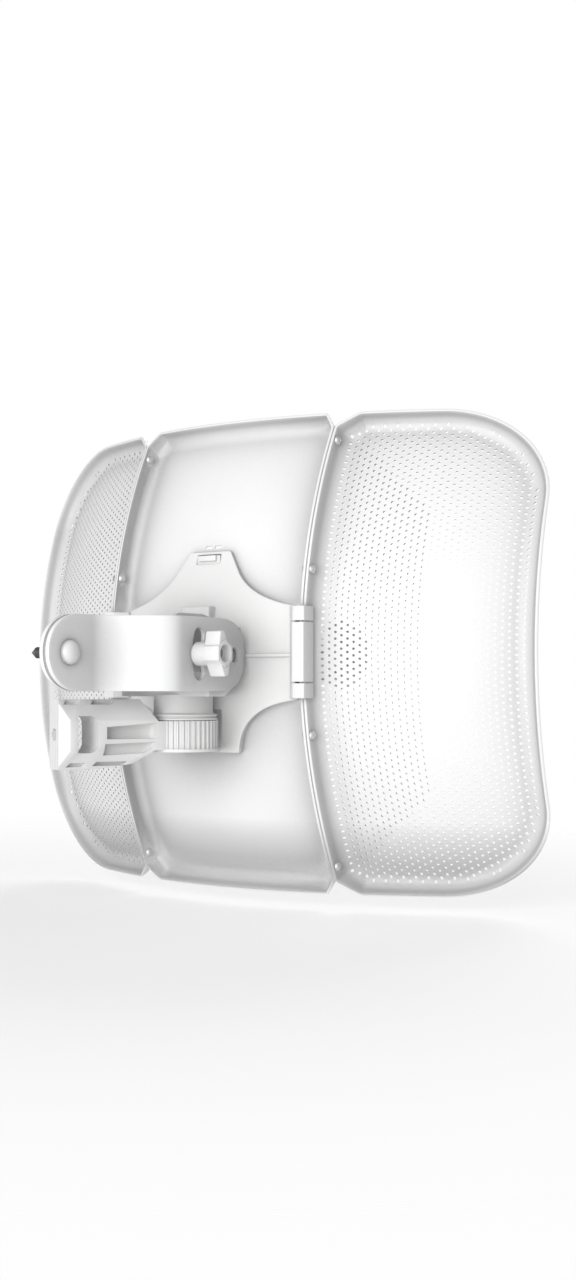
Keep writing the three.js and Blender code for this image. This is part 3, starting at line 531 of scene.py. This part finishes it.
def clear_of(spots, holes, gap):
    for hole in holes:
        middle = hole.mean(axis=0)
        reach = np.linalg.norm(hole - middle, axis=1).max() + gap
        near = np.linalg.norm(spots - middle, axis=1) < reach
        if near.any() and len(hole) > 12:
            candidates = spots[near]
            bad = np.array([inside(p, hole) for p in candidates])
            bad |= edge_distance(candidates, hole)[0] < gap
            near[near] = bad
        spots = spots[~near]
    return spots


def flanged_panel(name, edge, holes, step):
    """Reflector panel with its flange turned rearward on a constant radius, and a soft lip."""
    outer = FILLET + SHEET
    first = math.radians(24)            # the grid takes over from the bend's rows here
    seam = np.clip(1 - (np.abs(np.abs(edge[:, 0]) - SEAM_X) - 1) / CHAMFER, 0, 1)
    height = RIM + (SEAM_RIM - RIM) * seam
    normals = into_material(edge)
    ring = edge + normals * (outer - FILLET * math.cos(first))

    grid = inner_grid(edge, outer + 0.6, step, holes, 0.45)
    flare = [np.zeros_like(ring)] + [(hole - hole.mean(axis=0)) * HOLE_FLARE for hole in holes]

    def skin(flat, front):
        if front:
            opened = np.concatenate(flare)
            flat = flat + np.pad(opened, ((0, len(flat) - len(opened)), (0, 0)))
        distance, away, which = edge_distance(flat, edge)
        cosine = np.clip((outer - distance) / FILLET, 0, 1)
        sine = np.sqrt(1 - cosine ** 2)
        if front:
            return dish_place(flat - away * (SHEET * cosine)[:, None], FILLET - outer * sine, seam[which])
        return dish_place(flat, FILLET * (1 - sine), seam[which])

    def wall(inset, k):
        lift = k if k <= FILLET else FILLET + (k - FILLET) * (height - FILLET) / (RIM - FILLET)
        return dish_place(edge + normals * inset, lift, seam)

    bend = [first * (1 - i / 3) for i in range(1, 4)]
    soft = 0.45
    lip = [(SHEET, 0.8 * RIM), (SHEET, RIM - soft), (SHEET - 0.13, RIM - 0.13), (SHEET - soft, RIM),
           (soft, RIM), (0.13, RIM - 0.13), (0.0, RIM - soft), (0.0, 0.8 * RIM)]
    rows = [wall(outer - FILLET * math.cos(a), FILLET * (1 - math.sin(a))) for a in bend]
    rows += [wall(inset, k) for inset, k in lip]
    rows += [wall(outer - outer * math.cos(a), FILLET - outer * math.sin(a)) for a in reversed(bend)]

    bands = []
    for a in np.radians([37, 50, 63, 76, 88]):
        inset = outer - FILLET * math.cos(a)
        band = edge + normals * inset
        bands.append(band[np.abs(edge_distance(band, edge)[0] - inset) < 0.05])
    grid = np.concatenate([grid, clear_of(np.concatenate(bands), holes, 0.35)])
    return sheet(name, [ring] + holes, grid, lambda f: skin(f, False), lambda f: skin(f, True),
                 [rows] + [[] for _ in holes])


def wing_edge():
    x = SEAM_X + GAP / 2
    far_x, far_z = BASE_X - CORNER_X, BASE_Z - CORNER_Z
    near = [(far_x, BASE_Z), (x + CHAMFER, BASE_Z), (x, BASE_Z - CHAMFER),
            (x, CHAMFER - BASE_Z), (x + CHAMFER, -BASE_Z), (far_x, -BASE_Z)]
    path = rounded(near, 4.0, step=2.4, closed=False)
    path += arc((far_x, -far_z), (CORNER_X, CORNER_Z), -90, 0, 34)
    path += line((BASE_X, -far_z), (BASE_X, far_z), 2.4)
    path += arc((far_x, far_z), (CORNER_X, CORNER_Z), 0, 90, 34)
    return np.array(path)


def centre_edge():
    x = SEAM_X - GAP / 2
    half = [(x - CHAMFER, -BASE_Z), (x, CHAMFER - BASE_Z), (x, BASE_Z - CHAMFER), (x - CHAMFER, BASE_Z)]
    return np.array(rounded(half + [(-a, b) for a, b in reversed(half)], 3.0, step=2.4))


def perforation(edge):
    """Hole loops in staggered columns, kept off the flange."""
    columns = np.arange(SEAM_X + 5, BASE_X, HOLE_COLUMN)
    half_rows = math.ceil(BASE_Z / HOLE_ROW)
    spots = np.array([(x, (row + n % 2 / 2) * HOLE_ROW) for n, x in enumerate(columns)
                      for row in range(-half_rows, half_rows + 1)])
    spots = np.array([p for p in spots if inside(p, edge)])
    spots = spots[edge_distance(spots, edge)[0] > HOLE_MARGIN]
    return [circle(p, HOLE_R, 8) for p in spots]


def reflector():
    edge = wing_edge()
    right = flanged_panel("right_wing_sheet", edge, perforation(edge), HOLE_COLUMN)
    left = mirrored(right, "left_wing_sheet")
    stands_for(right, "right_wing")
    stands_for(left, "left_wing")
    feed_hole = circle((0, FEED_Z), FEED_R + 3, 64)
    low, high, width = 59.6, 61.2, 4.6
    slots = [np.array(rounded([(x, low), (x, high), (x + width, high), (x + width, low)], 0.6, 2.0, 3))
             for x in (-5.0, 1.4)]
    stands_for(flanged_panel("centre_sheet", centre_edge(), [feed_hole] + slots, 3.6), "centre_panel")


# ---- solid pieces --------------------------------------------------------------------------------
def turning_left(outline):
    """Outline as an array, counter-clockwise."""
    loop = np.array(outline, float)
    after = np.roll(loop, -1, axis=0)
    area = np.sum(loop[:, 0] * after[:, 1] - loop[:, 1] * after[:, 0])
    return loop if area > 0 else loop[::-1]


def slab(name, outline, z0, z1, soft=0.3, holes=()):
    """Outline in X and Y raised from z0 to z1."""
    def place(flat, depth):
        return np.stack([flat[:, 0], flat[:, 1], np.full(len(flat), z1 - depth)], axis=1)

    return plate(name, [turning_left(outline)] + list(holes), place, z1 - z0, soft)


def side_slab(name, outline, x0, x1, soft=0.3, holes=()):
    """Outline in Y and Z spanning x0 to x1."""
    def place(flat, depth):
        return np.stack([np.full(len(flat), x1 - depth), flat[:, 0], flat[:, 1]], axis=1)

    return plate(name, [turning_left(outline)] + list(holes), place, x1 - x0, soft)


def combined(name, parts, cuts=()):
    """One closed solid: the first part joined with the others, less the cuts. Every input is used up."""
    body, *others = parts
    for operation, tools in (("UNION", others), ("DIFFERENCE", list(cuts))):
        for tool in tools:
            step = body.modifiers.new("step", "BOOLEAN")
            step.operation = operation
            step.solver = "EXACT"
            step.object = tool
    bpy.context.view_layer.update()
    evaluated = body.evaluated_get(bpy.context.evaluated_depsgraph_get())
    mesh = bpy.data.meshes.new_from_object(evaluated)
    for used in [*parts, *cuts]:
        bpy.data.objects.remove(used)
    work = bmesh.new()
    work.from_mesh(mesh)
    bmesh.ops.remove_doubles(work, verts=work.verts, dist=0.004 * MM)
    bmesh.ops.dissolve_degenerate(work, edges=work.edges, dist=0.004 * MM)
    work.to_mesh(mesh)
    work.free()
    return new_object(name, mesh)


def eased(piece, width, sharp=35.0, segments=2):
    """Rounds the sharp edges that have room for it."""
    work = bmesh.new()
    work.from_mesh(piece.data)
    bmesh.ops.remove_doubles(work, verts=work.verts, dist=0.004 * MM)
    bmesh.ops.dissolve_limit(work, angle_limit=math.radians(1.5), verts=work.verts, edges=work.edges)
    room = 2.6 * width * MM
    shortest = {v: min(e.calc_length() for e in v.link_edges) for v in work.verts if v.link_edges}
    edges = [e for e in work.edges if len(e.link_faces) == 2
             and e.calc_face_angle(0) > math.radians(sharp)
             and min(shortest[v] for v in e.verts) > room]
    bmesh.ops.bevel(work, geom=edges, offset=width * MM, segments=segments, profile=0.5, affect="EDGES",
                    clamp_overlap=True)
    bmesh.ops.recalc_face_normals(work, faces=work.faces)
    work.to_mesh(piece.data)
    work.free()
    return piece


def refined(node, width=0.4, sharp=35.0):
    """Piece with a CAD node's shape and eased edges."""
    mesh = frame["nodes"][node].data.copy()
    for name in ("custom_normal", "normal"):
        if name in mesh.attributes:
            mesh.attributes.remove(mesh.attributes[name])
    return stands_for(eased(new_object(node + "_fine", mesh), width, sharp), node)


def rivet_y(z):
    """Rivets sit three quarters of the way up the seam flanges."""
    return dish_y(SEAM_X, z) - 0.77 * SEAM_RIM


def rivets():
    """Domed rivets at the left seam; the right seam's have small pan-shaped heads with a pin hole."""
    head, shank, grip, crown = 2.6, 1.6, 2.1, 1.9
    cap = [(head * math.sin(a), grip + crown * math.cos(a)) for a in np.radians([25, 45, 62, 78])]
    dome = [(0, -grip - crown)] + [(r, -h) for r, h in cap]
    dome += [(head, -grip - 0.05), (shank, -grip), (shank, grip), (head, grip + 0.05)]
    dome += cap[::-1] + [(0, grip + crown)]
    pan = [(0, 2.9), (0.55, 2.9), (0.75, 3.5), (1.5, 3.6), (2.3, 2.9), (2.5, grip), (shank, grip),
           (shank, -grip), (2.5, -grip), (2.3, -2.9), (1.4, -3.4), (0, -3.5)]
    for side, sign, profile in (("right", 1, pan), ("left", -1, dome)):
        for i, z in enumerate(RIVET_Z):
            rivet = lathe(f"{side}_rivet_{i + 1}", profile, "x", (sign * SEAM_X, rivet_y(z), z), 32)
            stands_for(rivet, f"{side}_seam_rivet_{i + 1}")


# ---- rear bracket --------------------------------------------------------------------------------
def bezier(a, b, c, d, count):
    t = np.arange(count)[:, None] / count
    a, b, c, d = (np.array(p, float) for p in (a, b, c, d))
    return list((1 - t) ** 3 * a + 3 * t * (1 - t) ** 2 * b + 3 * t * t * (1 - t) * c + t ** 3 * d)


def cross_outline():
    """Four arms: a wide foot below, one toward each seam, and a narrow foot above."""
    foot, arm_low, arm_high, neck = (21.5, -54.5), (59.2, -25.5), (59.2, 24.8), (22, 44)
    top_width, top = 13.2, 57
    right = bezier(foot, (24.5, -35), (40, -27.5), arm_low, 20)
    right += line(arm_low, arm_high, 2.5)
    right += bezier(arm_high, (42, 27.5), (29, 34), neck, 20)
    right += line(neck, (14.6, 56), 2.5)
    right += [np.array((14.1, 56.7)), np.array((top_width, top))]
    top_side = line((top_width, top), (-top_width, top), 2.4)[1:]
    left = [np.array((-p[0], p[1])) for p in reversed(right)]
    bottom = line((-foot[0], foot[1]), foot, 2.4)[1:]
    return np.array(right + top_side + left + bottom)


def clip_finger(z0, z1, bow=0.0):
    """Part of a foot that hooks over the seam flanges; the middle one bows rearward a little."""
    rear, hook = -5.2 - bow, 4.4
    plan = rounded([(57, 2.6), (57, 1.4), (63.4, rear), (70.7, rear), (70.7, hook), (69.4, hook),
                    (69.4, -3.1), (65.4, -3.1), (65.4, 2.6)],
                   [0, 0.3, 0.8, 0.7, 0.4, 0.4, 0.4, 0.4, 0], step=4.0, turn=4)
    return slab("clip_finger", plan, z0, z1, 0.2)


def arm_rib():
    """Rounded rib along an arm of the cross."""
    start, end, proud, buried, half = 26.5, 64, 2.0, 1.5, 1.1
    stations = np.linspace(start, end, 26)
    rear = [np.array((x, dish_y(x, 0) - PLATE_BACK - proud)) for x in stations]
    front = [np.array((x, dish_y(x, 0) - PLATE_BACK + buried)) for x in reversed(stations)]
    return slab("rib", rear + front, MOUNT_Z - half, MOUNT_Z + half, 0.8)


def swept_hub(angle):
    """Room that the hub and the neck above it need in the bracket when the dish is tilted by an angle."""
    hub, neck = HUB_R + 2.3, NECK_R + 1.5
    low, step, top = HUB_FLOOR - 3, NECK_STEP + 1, SADDLE_BOTTOM + 2.5
    profile = [(0, low), (hub, low), (hub, step), (neck, step), (neck, top), (0, top)]
    room = lathe("room", profile, "z", (SWIVEL_X, SWIVEL_Y, 0), 64)
    pivot = Matrix.Translation(Vector(metres((0, TILT_Y, MOUNT_Z))))
    room.data.transform(pivot @ Matrix.Rotation(math.radians(-angle), 4, "X") @ pivot.inverted())
    return room


def ear_outline():
    """Side view of an ear: low where it leaves the cross, and highest over the slot."""
    crown = 20.2
    low, back = MOUNT_Z - 8.5, LOCK_Y - 15
    corners = [(-4, -12), (-4, 14), (-25, 14.2), (-31, 18.6), (-37, crown), (back, crown),
               (back, MOUNT_Z - 7), (LOCK_Y - 2, low), (-30, -12)]
    radii = [0, 0, 8, 8, 10, 7.5, 9, 6, 6]
    return np.array(rounded(corners, radii, step=2.5, turn=8))


def cross_plate(holes):
    """Cross plate with a soft rear edge; it thins toward its top foot."""
    thins_from, thins_over = 24, 33

    def place(flat, depth):
        rise = np.clip((flat[:, 1] - thins_from) / thins_over, 0, 1)
        return dish_place(flat, (PLATE_BACK - depth) * (1 - TOP_THINNING * rise * rise * (3 - 2 * rise)))

    edge = cross_outline()
    grid = inner_grid(edge, 1.6, 2.6, holes, 1.0)
    return plate("cross", [edge] + holes, place, PLATE_BACK - 0.4, 0.5, grid)


def rear_bracket():
    """Cross, ears, clips, ribs and latch housing in one moulding, cut clear of the swivel's sweep."""
    def window(half, low, high, radius):
        corners = [(-half, low), (-half, high), (half, high), (half, low)]
        return np.array(rounded(corners, radius, 2.4, 3))

    door_half, door_low, door_high = 6.3, 12, 21
    latch_slot = window(8.3, 50, 55.6, 0.5)
    door = window(door_half, door_low, door_high, 0.6)
    shell = rounded([(-10, -3), (-10, -9.5), (10, -9.5), (10, -3)], [0, 1.2, 1.2, 0], 4.0)
    tunnel = [(-door_half, -12), (door_half, -12), (door_half, 9), (-door_half, 9)]
    through = slab("through", tunnel, door_low, door_high, 0.05)
    housing = slab("housing", shell, door_low - 4, door_high + 5, 0.8)
    parts = [cross_plate([latch_slot, door]), housing, arm_rib()]
    parts.append(mirrored(parts[-1], "left_rib"))
    holes = [circle((TILT_Y, MOUNT_Z), 5.6, 48), circle((LOCK_Y, MOUNT_Z), 3.3, 32)]
    foot = [(57.4, 2.3), (57.4, 1.7), (60.5, -1.5), (62.4, -1.5), (62.4, 2.3)]
    right = [side_slab("ear", ear_outline(), EAR_IN, EAR_OUT, 0.35, holes),
             clip_finger(-25, -16.9), clip_finger(-16.1, 16.1, 0.5), clip_finger(16.9, 24.8),
             slab("foot", foot, -24.7, 24.5, 0.2)]
    parts += right + [mirrored(part, "left_" + part.name) for part in right]
    cuts = [through] + [swept_hub(angle) for angle in (0.0, -2.2, -4.4)]
    stands_for(combined("rear_bracket_moulding", parts, cuts), "rear_bracket")


# ---- elevation yoke ------------------------------------------------------------------------------
def yoke_place(flat, depth):
    """Right plate's points from (y, z): straight cheek, slanting web and straight tail."""
    bend = np.array(bezier((YOKE_HALF, -62), (YOKE_HALF, -78), (TAIL_OUT, -82), (TAIL_OUT, -98), 200))
    bend = np.concatenate([bend, [(TAIL_OUT, -98)]])[::-1]
    x = np.interp(flat[:, 0], bend[:, 1], bend[:, 0])
    slope = (np.interp(flat[:, 0] + 0.2, bend[:, 1], bend[:, 0])
             - np.interp(flat[:, 0] - 0.2, bend[:, 1], bend[:, 0])) / 0.4
    size = np.sqrt(1 + slope ** 2)
    return np.stack([x - depth / size, flat[:, 0] + depth * slope / size, flat[:, 1]], axis=1)


def yoke_outline():
    """Side view of a plate: straight edges with rounded ends."""
    def end(middle, reach, power, start):
        turn = np.radians(start + 180 * np.arange(41) / 40)
        c, s = np.cos(turn), np.sin(turn)
        return list(np.stack([middle + np.sign(c) * reach * np.abs(c) ** (2 / power),
                              MOUNT_Z + np.sign(s) * YOKE_TALL / 2 * np.abs(s) ** (2 / power)], axis=1))

    front_middle, rear_middle, step = -32, -108, 1.6
    front = end(front_middle, YOKE_FRONT - front_middle, 2.6, -90)
    rear = end(rear_middle, rear_middle - YOKE_REAR, 2.1, 90)
    upper = line(front[-1], rear[0], step)[1:]
    lower = line(rear[-1], front[0], step)[1:]
    return np.array(front + upper + rear + lower)


def arc_slot(radius, half_width, half_angle):
    """Slot loop about the tilt axis, clockwise."""
    def at(r, a):
        return (TILT_Y + r * math.cos(math.radians(a)), MOUNT_Z + r * math.sin(math.radians(a)))
    low, high = 180 - half_angle, 180 + half_angle
    reach = (radius + half_width,) * 2
    near = (radius - half_width,) * 2
    loop = arc((TILT_Y, MOUNT_Z), reach, low, high, 24)
    loop += arc(at(radius, high), (half_width,) * 2, high, high + 180, 12)
    loop += arc((TILT_Y, MOUNT_Z), near, high, low, 16)
    loop += arc(at(radius, low), (half_width,) * 2, low - 180, low, 12)
    return np.array(loop[::-1])


def yoke():
    """Two S-shaped plates, each with a pivot hole, a curved slot and a hole for the bolt in its tail."""
    holes = [circle((TILT_Y, MOUNT_Z), PIVOT_BORE, 48),
             arc_slot(TILT_Y - LOCK_Y, SLOT_HALF_WIDTH, SLOT_HALF_ANGLE),
             circle((REAR_BOLT_Y, MOUNT_Z), 3.9, 32)]
    edge = yoke_outline()
    grid = inner_grid(edge, 1.2, 2.0, holes, 1.0)
    right = plate("right_yoke_sheet", [edge] + holes, yoke_place, YOKE_THICK, 0.5, grid)
    left = mirrored(right, "left_yoke_sheet")
    stands_for(right, "right_yoke_plate")
    stands_for(left, "left_yoke_plate")


def fasteners():
    """Turned bolts, washers and pivots."""
    tilt, lock, rear = (0, TILT_Y, MOUNT_Z), (0, LOCK_Y, MOUNT_Z), (0, REAR_BOLT_Y, MOUNT_Z)
    face = TAIL_OUT + GAP
    shank, root, pitch, first, turns = 2.9, 2.65, 0.5, -8.2, 20
    thread = []
    for step in range(turns):
        thread += [(shank, first - step * pitch), (root, first - (step + 0.5) * pitch)]
    dome = [(6.35 * math.cos(a), face + 0.5 + 3.7 * math.sin(a)) for a in np.radians(range(0, 90, 9))]
    bolt = [(0, -22), (0.5, -21.8), (2.4, -19), (shank, -18.4)] + thread[::-1]
    bolt += [(shank, face), (6.2, face)] + dome + [(0, face + 4.2)]
    rear_bolt = stands_for(lathe("rear_bolt_turned", bolt, "x", rear), "rear_bolt")
    rear_bolt.data.materials[0] = bolt_coat()
    washer = [(3.2, -face), (6.8, -face), (7.0, -face - 0.2), (7.0, -face - 1.2), (6.8, -face - 1.4),
              (3.2, -face - 1.4), (3.2, -face)]
    stands_for(lathe("rear_washer_turned", washer, "x", rear), "rear_washer")
    for side, sign in (("right", 1), ("left", -1)):
        start, flange, end = EAR_IN - 2.2, EAR_IN - GAP, YOKE_HALF - YOKE_THICK - GAP
        pivot = [(PIVOT_BORE, start), (7.1, start), (7.5, EAR_IN - 1.8), (7.5, flange), (5.2, flange),
                 (5.2, end - 0.3), (4.9, end), (PIVOT_BORE, end), (PIVOT_BORE, start)]
        shaped = [(r, sign * h) for r, h in pivot]
        stands_for(lathe(f"{side}_pivot_turned", shaped, "x", tilt), f"{side}_pivot_bushing")
    face = YOKE_HALF + GAP
    lock_bolt = [(0, -face - 3.6), (2.2, -face - 3.45), (4.2, -face - 2.9), (5.6, -face - 2),
                 (6.4, -face - 0.9), (6.6, -face), (shank, -face), (shank, face + 12.6),
                 (2.5, face + 13), (0, face + 13)]
    stands_for(lathe("lock_bolt_turned", lock_bolt, "x", lock), "lock_bolt")
    swivel = (SWIVEL_X, SWIVEL_Y, 0)
    top, base = RECESS_TOP - GAP, RECESS_TOP - GAP - 1.2
    ring = [(3.3, base), (8.1, base), (8.4, top - 0.9), (8.4, top - 0.3), (8.1, top), (3.3, top),
            (3.3, base)]
    stands_for(lathe("azimuth_washer_turned", ring, "z", swivel), "azimuth_washer")


# ---- swivel post and wing nut --------------------------------------------------------------------
def cheek_outline():
    """Side view of a cheek: round over the tilt axis, cut off at its lower front corner."""
    front = CHEEK_FRONT
    path = rounded([(CHEEK_REAR, SADDLE_BOTTOM), (front - 10, SADDLE_BOTTOM), (front, -13), (front, -9)],
                   [0, 14, 9, 0], step=6.0, closed=False)
    path = [tuple(p) for p in path + [(front, -9)] + list(arc((TILT_Y, MOUNT_Z), (9, 9), 0, 162, 36))]
    return path + [(CHEEK_REAR, -10)]


def swivel_post():
    """Saddle, two cheeks and the grooved neck that turns in the arm's hub, in one moulding."""
    corner, straight = CHEEK_FRONT - 10, 18
    plan = rounded([(-CHEEK_OUT, CHEEK_REAR), (CHEEK_OUT, CHEEK_REAR), (CHEEK_OUT, corner),
                    (straight, CHEEK_FRONT), (-straight, CHEEK_FRONT), (-CHEEK_OUT, corner)],
                   [1.5, 1.5, 9, 9, 9, 9], step=6.0)
    end = BORE_FLOOR + 0.5
    collar = HUB_TOP + GAP
    top = SADDLE_BOTTOM + 1
    neck = [(0, end), (SPIGOT_R - 0.6, end), (SPIGOT_R, end + 0.7), (SPIGOT_R, collar), (18.6, collar),
            (18.9, collar + 0.3), (18.9, -36), (18.7, -35.8), (17.8, -35.6), (17.6, -35.4), (17.8, -35.2),
            (18.4, -35), (18.6, -34.8), (18.6, NECK_STEP - 0.7), (18.3, NECK_STEP - 0.3),
            (17.2, NECK_STEP - 0.1), (16.6, NECK_STEP + 0.3), (NECK_R, NECK_STEP + 1.2), (NECK_R, top),
            (0, top)]
    parts = [slab("saddle", plan, SADDLE_BOTTOM, SADDLE_TOP, 0.4),
             lathe("neck", neck, "z", (SWIVEL_X, SWIVEL_Y, 0), 96)]
    pivot_hole = circle((TILT_Y, MOUNT_Z), 5.6, 48)
    screw_holes = [circle(spot, 2.2, 24) for spot in CHEEK_SCREWS]
    right = side_slab("cheek", cheek_outline(), CHEEK_IN, CHEEK_OUT, 0.35, [pivot_hole] + screw_holes)
    parts += [right, mirrored(right, "left_cheek")]
    bolt_room = lathe("bolt_room", [(0, -60), (3.3, -60), (3.3, -38.5), (0, -38.5)], "z",
                      (SWIVEL_X, SWIVEL_Y, 0), 32)
    slit = slab("slit", [(-17, -42), (-6, -42), (-6, -32), (-17, -32)], -27.4, -25.8, 0.1)
    stands_for(combined("swivel_moulding", parts, [bolt_room, slit]), "swivel_post")


def wing_nut():
    """Round foot, six-sided body with a deep socket, and two wings that lean a little."""
    face = YOKE_HALF + GAP
    centre = np.array((LOCK_Y, MOUNT_Z))
    lean = math.radians(9)
    turn = np.array(((math.cos(lean), -math.sin(lean)), (math.sin(lean), math.cos(lean))))
    paddle = [(-1.6, -12), (1.8, -12), (4.4, -4), (4.4, 4), (1.8, 12), (-1.6, 12), (-4.4, 4), (-4.4, -4)]
    wings = [centre + turn @ point for point in rounded(paddle, [0.9, 0.9, 3, 3, 0.9, 0.9, 3, 3], 3.0, 4)]
    corner_r = 12.5 / math.sqrt(3)
    corners = [(corner_r * math.cos(a), corner_r * math.sin(a)) for a in np.radians(range(30, 390, 60))]
    body = [centre + point for point in rounded(corners, 0.8, 3.0, 3)]
    foot_r, foot_top, body_base = 6.4, face + 9.5, face + 7.7
    foot = lathe("foot", [(0, face), (foot_r - 0.3, face), (foot_r, face + 0.3), (foot_r, foot_top - 0.3),
                          (foot_r - 0.3, foot_top), (0, foot_top)], "x", (0, LOCK_Y, MOUNT_Z), 64)
    parts = [side_slab("wings", wings, body_base, face + 17.3, 0.6),
             side_slab("body", body, body_base, face + 18, 0.5), foot]
    bolt_r, socket_r, socket_floor, above = 3.2, 4.35, face + 14, face + 20
    bore = [(0, face - 2), (bolt_r, face - 2), (bolt_r, socket_floor), (socket_r, socket_floor),
            (socket_r, face + 17.5), (4.9, face + 18.2), (4.9, above), (0, above)]
    cuts = [lathe("bore", bore, "x", (0, LOCK_Y, MOUNT_Z), 48)]
    stands_for(combined("wing_nut_moulding", parts, cuts), "wing_nut")


# ---- the rest ------------------------------------------------------------------------------------
def small_pieces():
    """Pieces whose own shape is right: eased edges and a finish."""
    widths = {"pole_arm": 0.5, "yoke_spacer": 0.15}
    done = {tuple(o.get("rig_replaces", [])) for o in bpy.data.objects}
    done = {node for nodes in done for node in nodes}
    for node in frame["nodes"]:
        if node not in done:
            refined(node, widths.get(node, 0.25))


# ---- surroundings --------------------------------------------------------------------------------
FLOOR_DROP = 0.008                  # metres under the lowest point
FLOOR_HALF = 3.0                    # half the floor's side, in metres
FLOOR_FADE = (0.15, 0.8)            # metres from the middle
SURROUND_LIGHT = 0.38
LIGHTS = (                          # name, place in millimetres, watts, side in metres
    ("key", (330, -1640, 120), 33.0, 1.5),
    ("front", (-300, 1450, 800), 13.0, 1.2),
)
LENS, LENS_SHIFT = 45.17, 0.021
CAMERA_PLACE = (551.7, -718.0, -20.1)
CAMERA_BACK = (0.5674, -0.8233, -0.0139)        # from the object toward the camera


def pale_floor():
    """Pale floor that fades into the white surround."""
    mesh = bpy.data.meshes.new("floor")
    low = CAD_BOX[0][2] - FLOOR_DROP
    middle = metres((0, 0, 0))
    corners = [(middle[0] + a * FLOOR_HALF, middle[1] + b * FLOOR_HALF, low)
               for a, b in ((-1, -1), (1, -1), (1, 1), (-1, 1))]
    mesh.from_pydata([tuple(c) for c in corners], [], [(0, 1, 2, 3)])
    floor = new_object("floor", mesh)
    material, tree, shader = new_material("pale_floor", grey(0.9), 0.8)
    shader.inputs["Emission Color"].default_value = (1, 1, 1, 1)
    shader.inputs["Emission Strength"].default_value = 0.2
    place = tree.nodes.new("ShaderNodeTexCoord")
    length = tree.nodes.new("ShaderNodeVectorMath")
    length.operation = "DISTANCE"
    length.inputs[1].default_value = (middle[0], middle[1], low)
    tree.links.new(place.outputs["Object"], length.inputs[0])
    fade = tree.nodes.new("ShaderNodeMapRange")
    fade.inputs["From Min"].default_value, fade.inputs["From Max"].default_value = FLOOR_FADE
    fade.inputs["To Min"].default_value = 0.3
    fade.interpolation_type = "SMOOTHSTEP"
    tree.links.new(length.outputs["Value"], fade.inputs["Value"])
    clear = tree.nodes.new("ShaderNodeBsdfTransparent")
    mix = tree.nodes.new("ShaderNodeMixShader")
    tree.links.new(fade.outputs["Result"], mix.inputs["Fac"])
    tree.links.new(shader.outputs["BSDF"], mix.inputs[1])
    tree.links.new(clear.outputs["BSDF"], mix.inputs[2])
    tree.links.new(mix.outputs["Shader"], tree.nodes["Material Output"].inputs["Surface"])
    mesh.materials.append(material)


def white_surround():
    """White to the camera, and a dimmer even light on the object."""
    world = bpy.data.worlds.new("surround")
    bpy.context.scene.world = world
    world.use_nodes = True
    tree = world.node_tree
    background = tree.nodes["Background"]
    background.inputs["Color"].default_value = (*grey(1.0), 1)
    path = tree.nodes.new("ShaderNodeLightPath")
    level = tree.nodes.new("ShaderNodeMapRange")
    level.inputs["To Min"].default_value = SURROUND_LIGHT
    level.inputs["To Max"].default_value = 1.0
    tree.links.new(path.outputs["Is Camera Ray"], level.inputs["Value"])
    tree.links.new(level.outputs["Result"], background.inputs["Strength"])


def lights():
    """Soft lights aimed at the dish."""
    aim = Vector(metres((0, 0, 0)))
    for name, place, power, width in LIGHTS:
        data = bpy.data.lights.new(name, "AREA")
        data.energy = power
        data.size = width
        lamp = bpy.data.objects.new(name, data)
        lamp.location = Vector(metres(place))
        lamp.rotation_euler = (aim - lamp.location).to_track_quat("-Z", "Y").to_euler()
        bpy.context.scene.collection.objects.link(lamp)


def camera():
    """Just below the middle of the dish, behind it and to the right."""
    data = bpy.data.cameras.new("view")
    data.sensor_width = 36.0
    data.lens = LENS
    data.shift_y = LENS_SHIFT
    view = bpy.data.objects.new("view", data)
    view.location = Vector(metres(CAMERA_PLACE))
    view.rotation_euler = Vector(CAMERA_BACK).normalized().to_track_quat("Z", "Y").to_euler()
    bpy.context.scene.collection.objects.link(view)
    bpy.context.scene.camera = view
    bpy.context.scene.view_settings.view_transform = "Standard"


camera()
pale_floor()
white_surround()
lights()
reflector()
rivets()
rear_bracket()
yoke()
fasteners()
swivel_post()
wing_nut()
small_pieces()
